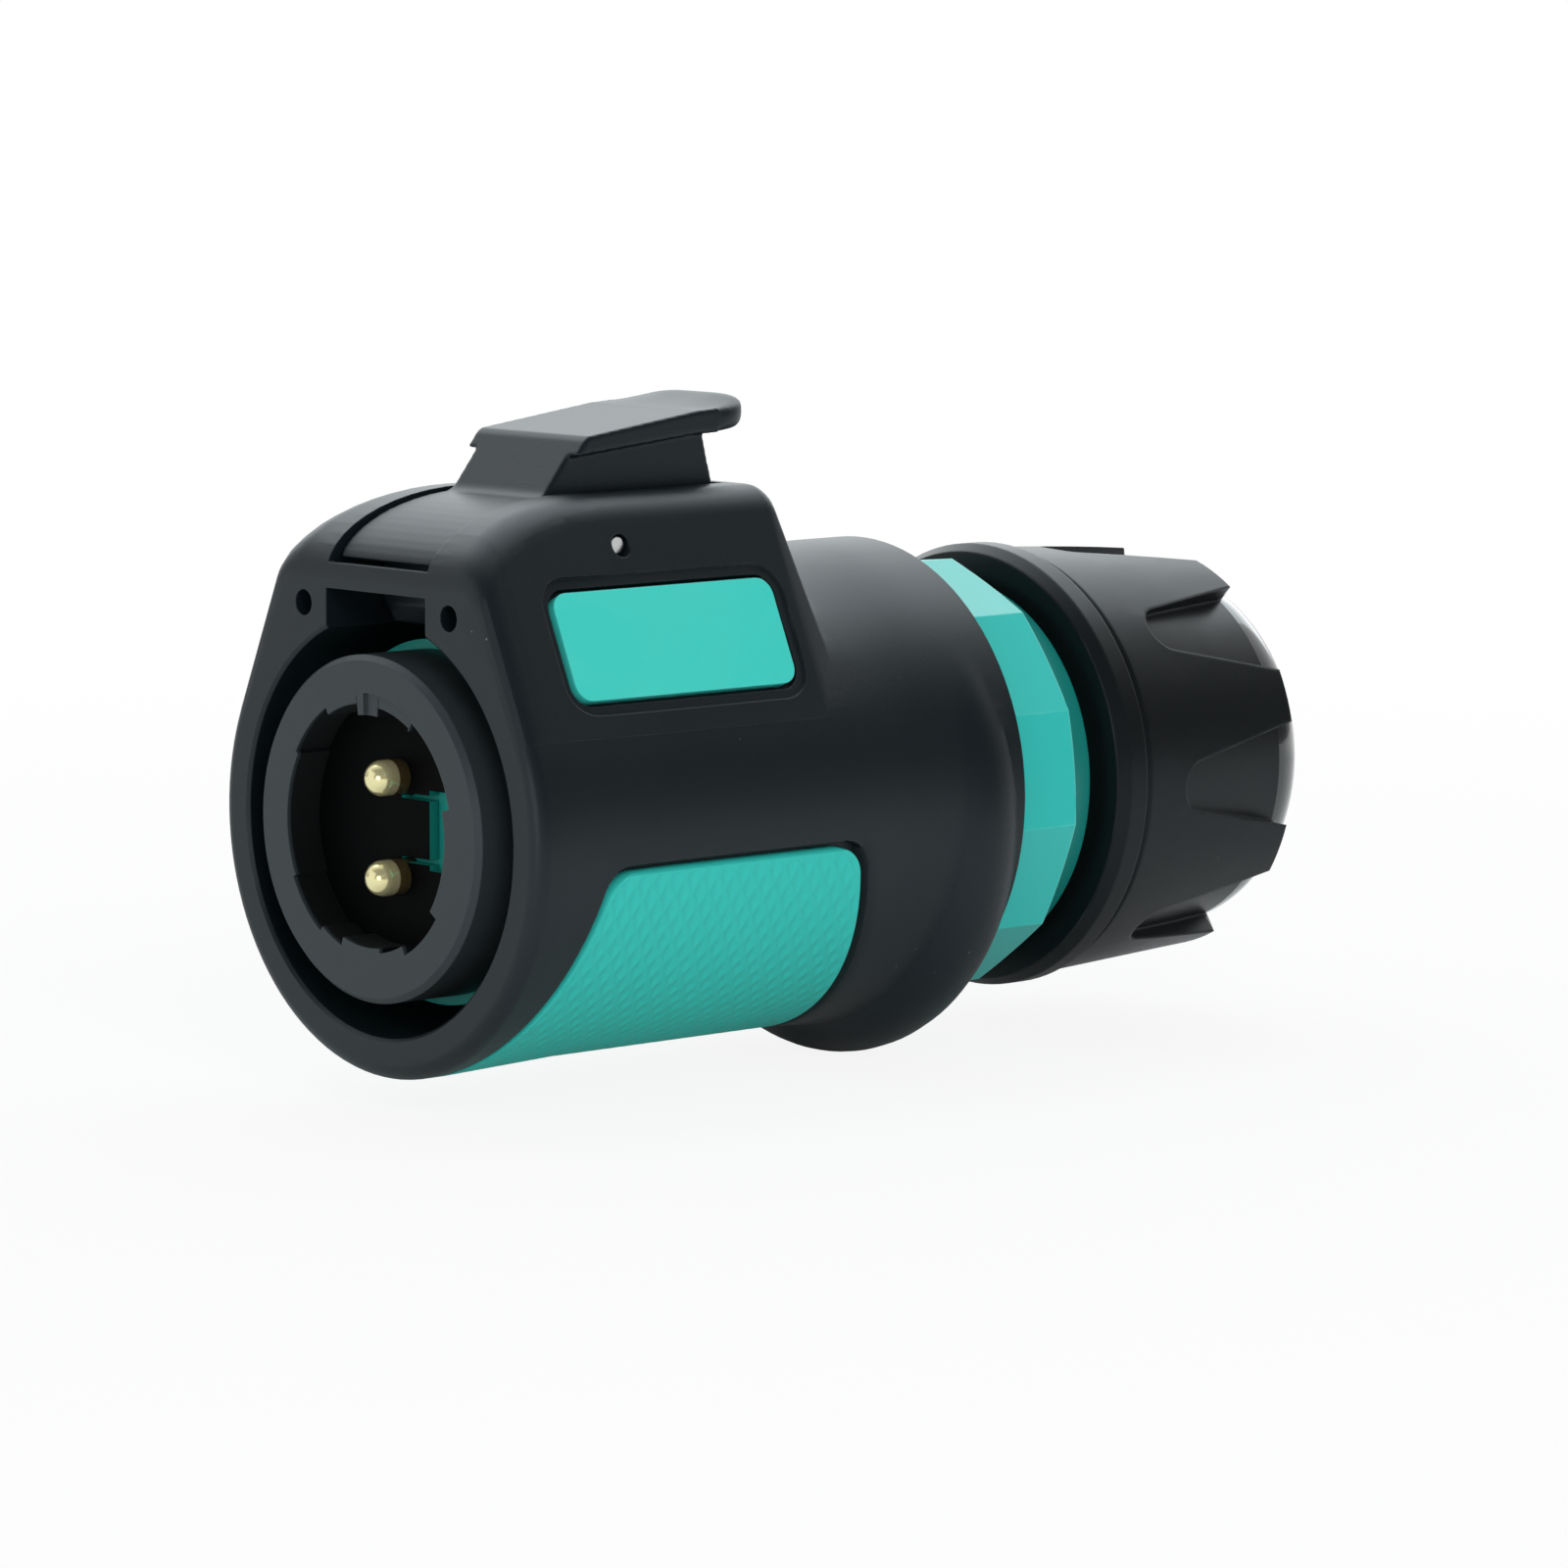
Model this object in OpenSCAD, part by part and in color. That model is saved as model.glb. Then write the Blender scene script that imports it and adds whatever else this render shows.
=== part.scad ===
// Round two-pole power plug with a push latch and a cable gland.
// The plug axis is Y: the mating face looks toward -Y, the cable leaves toward +Y, the latch is up (+Z).
// The origin is on the plug axis, in the plane of the contact barrel's front rim.

/* [Contact barrel] */
// Outside diameter of the contact barrel
barrel_d = 21.2; // [20.6:0.1:21.6]
// Bore of the contact barrel between its guide lands
barrel_bore_d = 16.2; // [15.8:0.1:16.6]
// Height of the lowest guide land in the bore
land_h = 0.25; // [0.15:0.05:0.4]
// Height of the side lands and the bottom land
land_step = 0.6; // [0.4:0.05:0.75]
// Height of the broad bottom tooth
tooth_step = 0.9; // [0.7:0.05:1.1]
// Depth of the square key under the latch
key_h = 1.15; // [0.9:0.05:1.3]
// Width of the square key, as an angle round the bore
key_angle = 13; // [8:1:18]
// Depth of the sunk step in the rim beside the key
rim_step = 0.2; // [0.1:0.05:0.3]
// Length of the barrel that stands free in the housing mouth
barrel_free = 5.5; // [4.5:0.1:6.5]
// Length of the thinner barrel root inside the core body
root_len = 7.5; // [6:0.1:9]
// Diameter of the barrel root
root_d = 19.8; // [19.2:0.1:20]

/* [Contacts] */
// Diameter of a contact pin
pin_d = 2.2; // [1.8:0.1:2.6]
// Distance between the two contact pins
pin_pitch = 6.1; // [5.6:0.1:7]
// Distance of the pin tips behind the barrel rim
pin_recess = 0.1; // [0:0.1:1.6]
// Diameter of the screw terminal behind each pin
terminal_d = 4.4; // [4:0.1:4.8]
// Length of the screw terminal
terminal_len = 10.4; // [9:0.1:12]
// Diameter of the wire hole in the terminal
wire_hole_d = 2.6; // [2:0.1:3]
// Diameter of the terminal screw
screw_d = 1.8; // [1.6:0.1:2.2]

/* [Insulator] */
// Radial clearance of the pins in the black face plate
pin_fit = 0.04; // [0.02:0.01:0.1]
// Distance of the black face plate behind the barrel rim
face_recess = 2.5; // [2:0.1:3.2]
// Thickness of the black face plate
face_t = 0.8; // [0.6:0.1:1.2]
// Distance of the side window from the middle plane
window_x = 2.85; // [2.6:0.05:4.5]
// Height of the side window
window_h = 4.9; // [4:0.1:6]
// Width of the two slits between pins and middle web
slit_w = 0.35; // [0.2:0.05:0.5]
// Distance between the two slits
slit_pitch = 3.9; // [3.6:0.1:4.1]
// Thickness of the carrier flange behind the barrel
carrier_flange_t = 2.5; // [2:0.1:3]
// Thickness of the ring that locks the carrier
lock_ring_t = 2.5; // [2:0.1:3]

/* [Core body] */
// Outside diameter of the core body
core_d = 22.4; // [22.2:0.1:22.6]
// Bore of the core body behind the insulator
core_bore_d = 17.2; // [16:0.1:18]
// Rear end of the core body
core_end = 54; // [52:0.1:55]
// Diameter of the shoulder that holds the housing
shoulder_d = 25; // [24.6:0.1:25.2]
// Thickness of the shoulder
shoulder_t = 1.8; // [1.4:0.1:2.2]

/* [Housing] */
// Distance of the housing front face behind the barrel rim
face_set = 0.75; // [0.5:0.05:1.2]
// Diameter of the housing mouth round the barrel
mouth_d = 25.54; // [25.4:0.02:25.8]
// Depth of the mouth
mouth_depth = 15.25; // [14:0.05:16]
// Station where the front bead starts to taper to the grip length
taper_y = 3.1; // [2.4:0.1:3.6]
// Outside diameter of the grip length
grip_d = 30.1; // [29.8:0.1:30.6]
// Outside diameter of the front bead
bead_d = 30.7; // [30.3:0.1:31.2]
// Radius of the rounded front edge
front_round = 1.0; // [0.8:0.05:1.3]
// Bevel at the front edge of the mouth
mouth_bevel = 0.2; // [0.1:0.05:0.4]
// Rear end of the grip length
grip_end = 30; // [29.8:0.1:31]
// Station where the finger flange is widest
flange_y = 37.3; // [36.5:0.1:38]
// Outside diameter of the finger flange
flange_d = 32.4; // [32:0.1:33.4]
// Distance between the grip length and the start of the finger flange
flange_set = 2.2; // [0:0.1:3.4]
// How far the finger flange falls off toward its rear edge
flange_fall = 1.9; // [1:0.05:2.2]
// Drop of the finger flange below the plug axis
flange_drop = 1.2; // [0.6:0.05:1.4]
// Rear end of the housing
housing_end = 40.4; // [39.8:0.1:41]
// Outside diameter of the rear rim
rim_d = 30.9; // [30.4:0.1:31.4]
// Rounding of the rear rim
rim_bevel = 0.3; // [0.1:0.1:0.5]

/* [Latch tower] */
// Lean of the tower side walls
wall_lean = 24; // [20:1:27]
// Height of the tower top above the plug axis
tower_z = 20.0; // [19.7:0.1:20.6]
// Rear end of the tower at its top
tower_end = 26.0; // [25:0.1:26.5]
// Length over which the rear wall leans back
tower_run = 1.5; // [1:0.1:2.4]
// Height of the curved front of the tower, from the flat face to the flat top
brow_h = 5.0; // [4.5:0.1:5.4]
// Station where the curved front meets the flat top
brow_y = 11.6; // [11:0.1:12.2]
// Radius of the tower's long top edges
tower_round = 2.5; // [1.5:0.1:3]
// How much larger that radius is at the front face
brow_round = 0.8; // [0:0.1:1.2]
// Radius of the tower's rear top edge
tower_rear_round = 1.0; // [0.8:0.1:1.6]
// Rounding of the upright edges at the rear of the tower
tower_side_round = 0.6; // [0.4:0.1:0.7]
// Radius of the soft corner behind the tower
foot_round = 1.4; // [1:0.1:3]
// Half width of the latch bay
bay_x = 4.8; // [4.7:0.05:5.2]
// Rear end of the latch bay
bay_end = 24.4; // [24.3:0.05:24.6]
// Floor of the latch bay above the plug axis
bay_floor = 14.5; // [14.2:0.1:14.7]
// Upper edge of the slot in the front face
slot_z = 14.3; // [14.1:0.05:14.4]
// Depth of the bridge bar over the slot
bar_t = 0.65; // [0.5:0.05:0.75]
// Height of the bridge bar over the slot
bar_h = 1.55; // [1.2:0.05:1.8]
// Diameter of the two blind holes in the front face
ear_hole_d = 1.6; // [1.2:0.1:2]
// Distance of a blind hole from the middle plane
ear_hole_x = 7; // [6.8:0.1:7.4]
// Height of the blind holes above the plug axis
ear_hole_z = 13.25; // [13:0.05:13.6]
// Depth of the blind holes
ear_hole_depth = 3; // [2:0.1:4]

/* [Latch] */
// Clearance between latch and bay walls
latch_gap = 0.3; // [0.25:0.05:0.5]
// Station of the hinge pin
pivot_y = 12.6; // [12.2:0.1:12.8]
// Height of the hinge pin
pivot_z = 17.05; // [16.9:0.05:17.2]
// Diameter of the hinge pin
pivot_d = 1.0; // [0.8:0.1:1.2]
// Diameter of the sunk hole round each end of the hinge pin
pivot_sink_d = 1.4; // [1.3:0.1:1.8]
// Radial clearance of the latch on its pin
pivot_fit = 0.04; // [0.02:0.01:0.08]
// Depth of the latch plate below the tower lips
plate_drop = 0.2; // [0.1:0.05:0.3]
// Distance of the latch plate behind the curved front
plate_back = 0.5; // [0.4:0.05:0.7]
// Thickness of the latch front plate
plate_t = 1.7; // [1.4:0.1:2]
// Gap between the latch plate and the bridge bar
plate_gap = 0.25; // [0.2:0.05:0.4]
// Height of the hook tooth's lower end above the plug axis
tooth_z = 11.9; // [11.7:0.1:12.4]
// Station of the front of the hook tooth
tooth_y = 5; // [4.6:0.1:5.4]
// Station of the foot of the ramp that rises to the thumb tab
ramp_y = 10.2; // [9.8:0.1:10.6]
// Radius of the soft corner at the foot of the ramp
ramp_round = 1.2; // [0.6:0.1:1.8]
// Station of the front edge of the thumb tab
tab_front = 13.1; // [12.8:0.1:13.5]
// Height of the front edge of the thumb tab
tab_z = 23.4; // [23:0.1:23.8]
// Rear tip of the thumb tab
tab_end = 27.3; // [26:0.1:27.6]
// How far the rear rim of the thumb tab is turned up
tab_curl = 0.45; // [0.2:0.05:0.7]
// Thickness of the thumb tab
tab_t = 1.2; // [0.9:0.05:1.5]
// Half width of the thumb tab
tab_x = 5.25; // [5:0.05:5.6]
// Radius of the rear corners of the thumb tab
tab_round = 3.2; // [1.5:0.1:4]
// Half width of the stem under the tab
stem_x = 4.4; // [4:0.05:4.4]
// Rear face of the stem at the tower top
stem_end = 23.85; // [23.4:0.05:23.9]
// Wire diameter of the latch spring
spring_wire = 0.5; // [0.4:0.05:0.6]
// Mean diameter of the latch spring
spring_d = 3.4; // [3:0.1:4]
// Station of the latch spring
spring_y = 18.6; // [18:0.1:19.2]

/* [Trim] */
// Length of a name plate
plate_len = 17.4; // [16:0.1:18]
// Width of a name plate up the wall
plate_w = 6.85; // [6.4:0.05:7.1]
// Corner radius of a name plate
plate_round = 1.1; // [0.8:0.1:1.8]
// Station of the middle of a name plate
plate_y = 14.75; // [14:0.05:15]
// Height of the middle of a name plate
plate_z = 11.45; // [11:0.05:11.7]
// Thickness of a name plate
badge_t = 0.8; // [0.6:0.05:1]
// Depth of the pocket under a name plate
badge_pocket = 0.75; // [0.5:0.05:0.95]
// Width of the groove round a name plate
badge_groove = 0.3; // [0.2:0.05:0.4]
// Width of the sunk border outside that groove
border_w = 0.65; // [0.4:0.05:0.8]
// Depth of the sunk border
border_t = 0.15; // [0.1:0.05:0.25]
// Width of the groove round the grip pad
groove_w = 0.5; // [0.3:0.05:0.7]
// Thickness of the grip pad
pad_t = 0.9; // [0.7:0.05:1.1]
// Depth of the grip pad below the plug axis at its top edge
pad_top = 1.9; // [1.5:0.1:2.4]
// Front end of the pad at its top edge
pad_front = 7.0; // [6.4:0.1:7.4]
// Rear end of the pad at its top edge
pad_rear = 26.7; // [26.3:0.1:27]
// How far the front edge runs forward toward the underside
pad_rake_front = 4.1; // [3:0.1:4.4]
// How far the rear edge runs back toward the underside
pad_rake_rear = 3.0; // [2:0.1:3.2]
// Corner radius of the grip pad
pad_round = 1.6; // [1:0.1:2]

/* [Lock collar] */
// Number of wrench flats
flats = 12; // [6, 8, 10, 12]
// Diameter over the corners of the flats
flats_d = 28.06; // [27:0.02:28.6]
// Turn of the first corner above the horizontal
flats_turn = 20.6; // [0:0.2:30]
// Length of the lock collar
collar_len = 6; // [5:0.1:6.6]
// Diameter of the round flange behind the flats
collar_flange_d = 24.4; // [24:0.1:26]
// Length of the round flange
collar_flange_len = 2.5; // [2:0.1:2.8]
// Bevel at the rear of the flats
collar_bevel = 0.25; // [0.15:0.05:0.5]

/* [Seals] */
// Cord diameter of the two O-rings
oring_d = 1.0; // [0.8:0.05:1.1]
// Station of the O-ring between core and housing
core_oring_y = 21; // [19:0.5:34]
// Mean diameter of the O-ring under the collar
collar_oring_d = 25.4; // [24.8:0.1:26]

/* [Cable gland] */
// Number of clamp fingers
fingers = 8; // [6, 8, 10]
// Inside diameter of the clamp fingers
finger_bore_d = 15.6; // [15:0.1:16]
// Outside diameter of the clamp cage root
cage_d = 20.4; // [20:0.1:20.8]
// Depth of the cage root in the core body
cage_seat = 3.8; // [3:0.1:4.5]
// Length of the clamp fingers
finger_len = 10; // [9:0.1:10.5]
// Outside diameter at the finger tips
finger_tip_d = 17.6; // [17.2:0.1:18]
// Width of the slots between fingers
finger_slot = 1.1; // [0.8:0.1:1.6]
// Cable diameter that the grommet takes
cable_d = 10; // [8:0.5:11]
// Rear end of the grommet
grommet_end = 68.6; // [68:0.1:69]
// Thickness of the slip washer
washer_t = 1.0; // [0.8:0.1:1.2]

/* [Gland nut] */
// Front end of the gland nut
nut_front = 49.7; // [49.5:0.1:50]
// Diameter of the front lip
nut_lip_d = 28.8; // [28.4:0.1:29.2]
// Length of the front lip
nut_lip_len = 2.4; // [2:0.1:3.6]
// Depth of the fine groove behind the lip
nut_groove_t = 0.2; // [0.1:0.05:0.5]
// Diameter of the nut body behind the lip
nut_body_d = 28.1; // [27.6:0.1:28.3]
// Diameter of the nut body at its rear
nut_rear_d = 26.6; // [26.2:0.1:27]
// Station of the rear end of the lobes
nut_lobe_end = 66.5; // [66:0.1:67]
// Rear end of the nut
nut_end = 70.4; // [70:0.1:71]
// Radius of the nut's rounded rear shoulder
nut_shoulder = 4.2; // [3.2:0.1:4.4]
// Number of grip lobes
lobes = 8; // [6:1:10]
// Turn of the first lobe above the horizontal
lobe_turn = 64.3; // [0:0.1:90]
// Station where the scallops begin
scallop_start = 56; // [55:0.1:58]
// Depth of the scallops at their start
scallop_step = 0.55; // [0.3:0.05:0.7]
// Depth of the scallops at the rear
scallop_depth = 1.4; // [0.8:0.05:1.6]
// Radius of the round start of a scallop
scallop_round = 1.7; // [1.4:0.1:2]
// Half width of a scallop at the nut's rear end
scallop_half = 4.2; // [3.6:0.1:4.6]
// Diameter of the cable hole in the nut
nut_hole_d = 14; // [13.8:0.1:14.6]

/* [Fits] */
// Radial clearance between nested round parts
round_gap = 0.1; // [0.05:0.01:0.15]
// Clearance between stacked faces that do not touch
stack_gap = 0.3; // [0.2:0.05:0.4]

/* [Hidden] */

// Facets of round parts and of the smaller rounded corners
round_fn = 96;
corner_fn = 24;
e = 0.01;

// Stations along the plug axis that several parts share
root_y = barrel_free + root_len;
face_y = face_recess;
carrier_y = face_recess + face_t;
ring_y = root_y + carrier_flange_t;
ring_end = ring_y + lock_ring_t;
housing_floor = face_set + mouth_depth;
collar_y = housing_end;
flange_start = collar_y + collar_len;
flange_end = flange_start + collar_flange_len;
cage_y = core_end - cage_seat;
finger_end = core_end + finger_len;
washer_y = finger_end + stack_gap;
washer_end = washer_y + washer_t;

// Inner end of the key, radius of the insulator in the bore and width of the latch
key_r = barrel_bore_d / 2 - key_h;
insert_r = barrel_bore_d / 2 - round_gap;
latch_x = bay_x - latch_gap;

// How far the flat tower walls stand proud of the round body, so that they never just touch it
wall_proud = 0.03;

// Guide lands in the barrel bore: start and end angle above the horizontal, and height
lands = [[-36, 14, land_step + 0.1], [57.5, 83, land_step], [97, 119, land_step * 0.75],
         [149, 206, land_h], [235, 251, land_h * 1.4], [250.5, 278.5, tooth_step], [278, 296, land_step]];

// A point on a circle in the plane across the plug axis, as [x, z]
function polar(r, a) = [r * cos(a), r * sin(a)];
// Points of an arc round c
function arc(c, r, a0, a1, n) = [for (i = [0:n]) c + polar(r, a0 + (a1 - a0) * i / n)];

// Stands a shape drawn along +Z up along +Y, with its own -Y pointing up
module along_axis(y = 0) {
    translate([0, y, 0])
        rotate([-90, 0, 0])
            children();
}

// Turns a profile of [radius, station] points round the plug axis
module turned(points) {
    along_axis()
        rotate_extrude($fn = round_fn)
            polygon(points);
}

// A round bar on the plug axis from y0 to y1
module bar(r, y0, y1) {
    along_axis(y0)
        cylinder(r = r, h = y1 - y0, $fn = round_fn);
}

// A tube on the plug axis
module tube(r_out, r_in, y0, y1) {
    difference() {
        bar(r_out, y0, y1);
        bar(r_in, y0 - 1, y1 + 1);
    }
}

// A shape drawn as [x, z], extended from station y0 to y1
module across(y0, y1) {
    translate([0, y0, 0])
        rotate([-90, 0, 0])
            linear_extrude(y1 - y0)
                mirror([0, 1])
                    children();
}

// A shape drawn as [y, z], extended to both sides of the middle plane
module sideways(half) {
    rotate([90, 0, 90])
        linear_extrude(2 * half, center = true)
            children();
}

// Turns a part round the plug axis, up for positive angles on the +X side
module turn_up(a) {
    rotate([0, -a, 0])
        children();
}

// Housing with its latch tower, finger flange and trim pockets

// Radius of the round body at a station: front bead, taper, grip length
function body_r(y) =
    y <= taper_y ? bead_d / 2
    : y >= brow_y ? grip_d / 2
    : bead_d / 2 - (bead_d - grip_d) / 2 * (y - taper_y) / (brow_y - taper_y);

// Skin of the round body as [radius, station] points, sunk by t
function skin(t, y1) = [[bead_d / 2 - t, 0], [bead_d / 2 - t, taper_y], [grip_d / 2 - t, brow_y],
                        [grip_d / 2 - t, y1]];

// Reverses a list of points
function backward(p) = [for (i = [len(p) - 1:-1:0]) p[i]];

// Height of the quarter ellipse that forms the tower front, set back by b and sunk by c
function brow_z(y, b, c) =
    y >= brow_y ? tower_z - c
    : tower_z - brow_h + (brow_h - c) * sqrt(1 - pow((brow_y - y) / (brow_y - face_set - b), 2));

// Station on that ellipse at an angle: 0 at the front face, 90 at the flat top
function brow_station(a, b) = brow_y - (brow_y - face_set - b) * cos(a);

// How far the skin of the tower is inset at a station by the rounded front edge
function edge_inset(y) =
    y >= face_set + front_round ? 0
    : front_round - sqrt(max(0, pow(front_round, 2) - pow(face_set + front_round - y, 2)));

// Section of the tower across the plug axis: top at z, body radius r, sides inset by d
function tower_section(z, r, d) =
    let (rho = tower_round + brow_round * (tower_z - z) / brow_h - d,
         cz = z - rho,
         cx = (r - d - rho - cz * sin(wall_lean)) / cos(wall_lean))
    concat(
        [polar(r - d, wall_lean)],
        arc([cx, cz], rho, wall_lean, 90, 8),
        arc([-cx, cz], rho, 90, 180 - wall_lean, 8),
        [polar(r - d, 180 - wall_lean), [0, -1]]);

// Thin slice of the tower at a station
slice_t = 0.02;
module tower_slice(y, z, d) {
    across(y, y + slice_t)
        polygon(tower_section(z, body_r(y) + wall_proud, d));
}

// Front of the tower: rounded front edge and curved brow
module tower_front() {
    n = 12;
    hull() {
        for (i = [0:n])
            tower_slice(brow_station(90 * i / n, 0), brow_z(brow_station(90 * i / n, 0), 0, 0),
                        edge_inset(brow_station(90 * i / n, 0)));
        tower_slice(taper_y, brow_z(taper_y, 0, 0), 0);
    }
}

// Rear of the tower: flat top, rounded rear edges, leaning rear wall
module tower_rear() {
    r = grip_d / 2;
    n = 4;
    hull() {
        tower_slice(brow_y + slice_t, tower_z, 0);
        for (i = [0:n])
            tower_slice(tower_end - tower_rear_round * (1 - sin(90 * i / n)),
                        tower_z - tower_rear_round * (1 - cos(90 * i / n)),
                        tower_side_round * (1 - cos(90 * i / n)));
        across(tower_end + tower_run, tower_end + tower_run + slice_t)
            polygon([polar(r - tower_side_round, wall_lean), polar(r - 0.5, 50), polar(r - 0.5, 90),
                     polar(r - 0.5, 130), polar(r - tower_side_round, 180 - wall_lean), [0, -1]]);
    }
}

// Soft corner where the rear wall of the tower runs out on the round body
module tower_foot() {
    r = grip_d / 2;
    f = foot_round;
    y0 = tower_end + tower_run * (tower_z - r - f) / (tower_z - r + 0.5);
    intersection() {
        turned(concat(
            [[r - 2, y0 - 1.5], [r + f, y0 - 1.5], [r + f, y0]],
            arc([r + f, y0 + f], f, -90, -180, 8),
            [[r - 2, y0 + f]]));
        across(tower_end - 2, tower_end + 5)
            polygon(tower_section(tower_z, r, tower_side_round));
    }
}

// Finger flange: a round swell whose axis lies below the plug axis
module finger_flange() {
    peak = flange_d / 2;
    start = grip_d / 2 - flange_drop - 0.2;
    run = flange_y - grip_end - flange_set;
    rise = peak - start;
    // Radius of the two equal arcs of the front side, and of the rear side
    rf = (run * run + rise * rise) / (4 * rise);
    af = 2 * atan(rise / run);
    back_run = housing_end - flange_y;
    rr = (back_run * back_run + flange_fall * flange_fall) / (2 * flange_fall);
    ar = asin(back_run / rr);
    translate([0, 0, -flange_drop])
        turned(concat(
            [[0, flange_y - run]],
            arc([start + rf, flange_y - run], rf, 180, 180 - af, 6),
            arc([peak - rf, flange_y], rf, -af, 0, 6),
            [for (i = [1:5]) [peak - rr, flange_y] + polar(rr, ar * i / 5)],
            [[0, housing_end]]));
}

// Height of the pad from its top edge to the underside
pad_drop = grip_d / 2 - pad_top;

// Outline of the grip pad seen from the side, grown by g
module pad_outline(g) {
    offset(r = pad_round + g, $fn = corner_fn)
        offset(delta = -pad_round)
            polygon([[pad_front, -pad_top], [pad_rear, -pad_top],
                     [pad_rear + 2 * pad_rake_rear, -pad_top - 2 * pad_drop],
                     [pad_front - 2 * pad_rake_front, -pad_top - 2 * pad_drop]]);
}

// Places a name plate outline on the tower wall, one side at a time
module on_wall(side) {
    x = (grip_d / 2 + wall_proud - plate_z * sin(wall_lean)) / cos(wall_lean);
    mirror([side > 0 ? 0 : 1, 0, 0])
        translate([x, plate_y, plate_z])
            rotate([0, 90 - wall_lean, 0])
                children();
}

// Rounded rectangle of a name plate, grown by g, thick from z0 to z1
module badge(g, z0, z1) {
    translate([0, 0, z0])
        linear_extrude(z1 - z0)
            offset(r = plate_round + g, $fn = corner_fn)
                square([plate_w - 2 * plate_round, plate_len - 2 * plate_round], center = true);
}

module housing() color("#26292c") {
    difference() {
        union() {
            turned(concat(
                [[0, face_set]],
                arc([bead_d / 2 - front_round, face_set + front_round], front_round, -90, 0, 8),
                [[bead_d / 2, taper_y], [grip_d / 2, brow_y], [grip_d / 2, grip_end],
                 [rim_d / 2, flange_y - 1], [rim_d / 2, housing_end - rim_bevel],
                 [rim_d / 2 - rim_bevel, housing_end], [0, housing_end]]));
            tower_front();
            tower_rear();
            tower_foot();
            finger_flange();
        }
        // Mouth round the barrel and bore for the core body
        bar(mouth_d / 2, face_set - 1, housing_floor);
        turned([[0, face_set - 1], [mouth_d / 2 + mouth_bevel + 1, face_set - 1],
                [mouth_d / 2, face_set + mouth_bevel], [0, face_set + mouth_bevel]]);
        bar(core_d / 2 + round_gap, face_set, housing_end + 1);
        // Latch bay: the slot through the front face, the opening over the bridge bar,
        // the well over the mouth and the open top
        across(face_set - 1, housing_floor - 5)
            translate([-bay_x, 0])
                square([2 * bay_x, slot_z]);
        across(face_set - 1, face_set + bar_t + 1)
            translate([-bay_x, slot_z + bar_h])
                square([2 * bay_x, 20]);
        across(face_set + bar_t, bay_end)
            translate([-bay_x, bay_floor])
                square([2 * bay_x, 20]);
        across(face_set + bar_t, housing_floor - 5)
            translate([-bay_x, 0])
                square([2 * bay_x, bay_floor + e]);
        // Hinge pin bore with its sunk ends, and the blind holes
        translate([0, pivot_y, pivot_z])
            rotate([0, 90, 0]) {
                cylinder(d = pivot_d, h = 40, center = true, $fn = 48);
                for (s = [0, 180])
                    rotate([s, 0, 0])
                        translate([0, 0, hinge_half - 0.5])
                            cylinder(d = pivot_sink_d, h = 10, $fn = 48);
            }
        for (s = [-1, 1])
            translate([s * ear_hole_x, 0, ear_hole_z])
                along_axis(face_set - 1)
                    cylinder(d = ear_hole_d, h = ear_hole_depth + 1, $fn = 48);
        // Pockets for the name plates with their grooves and sunk borders, and for the grip pad
        for (s = [-1, 1])
            on_wall(s) {
                badge(badge_groove, -badge_pocket, 3);
                badge(badge_groove + border_w, -border_t, 3);
            }
        intersection() {
            sideways(30)
                pad_outline(groove_w);
            turned(concat(skin(-1, grip_end), backward(skin(pad_t, grip_end))));
        }
    }
}

// Half length of the hinge pin: it ends just under the sloping walls
hinge_half = (grip_d / 2 - pivot_z * sin(wall_lean)) / cos(wall_lean) - 0.35;

module name_plate(side) color("#4bcbc5") {
    on_wall(side)
        badge(0, -badge_pocket, badge_t - badge_pocket);
}

module name_plate_left() {
    name_plate(-1);
}

module name_plate_right() {
    name_plate(1);
}

module grip_pad() color("#3fb9ac") {
    intersection() {
        sideways(30)
            pad_outline(0);
        turned(concat(skin(0, grip_end), backward(skin(pad_t, grip_end))));
    }
}

// Latch lever: curved front plate with a hook tooth, hinge boss, ramp, stem and thumb tab

// Lower edge of the latch plate over the bridge bar
plate_z0 = slot_z + bar_h + plate_gap;

// Top of the latch plate at the foot of the ramp, and the rise of the ramp per length
foot_z = brow_z(ramp_y, plate_back, plate_drop);
ramp_slope = (tab_z - foot_z) / (tab_front - ramp_y);

// Slope of the thumb tab and height of its straight top at a station
tab_slope = 0.132;
function tab_top(y) = tab_z + tab_slope * (y - tab_front);

// Station of a point on the ramp at a height
function ramp_station(z) = ramp_y + (z - foot_z) / ramp_slope;

// Curved plate: its skin follows the brow of the tower
module latch_plate() {
    n = 12;
    a0 = asin((plate_z0 - tower_z + brow_h) / (brow_h - plate_drop));
    a1 = acos((brow_y - ramp_y) / (brow_y - face_set - plate_back));
    skin_y = [for (i = [0:n]) brow_station(a0 + (a1 - a0) * i / n, plate_back)];
    b = plate_back + plate_t;
    c = plate_drop + plate_t;
    b0 = asin((plate_z0 - tower_z + brow_h) / (brow_h - c));
    under_y = [for (i = [0:n]) brow_station(b0 + (85 - b0) * i / n, b)];
    intersection() {
        sideways(latch_x)
            polygon(concat(
                [for (y = skin_y) [y, brow_z(y, plate_back, plate_drop)]],
                [[ramp_y + 3, foot_z], [ramp_y + 3, pivot_z - 1.6]],
                [for (i = [n:-1:0]) [under_y[i], brow_z(under_y[i], b, c)]]));
        translate([0, 0, bay_floor])
            linear_extrude(10)
                offset(r = 0.8, $fn = corner_fn)
                    translate([-latch_x + 0.8, face_set + plate_back + 0.8])
                        square([2 * latch_x - 1.6, 20]);
    }
}

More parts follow.
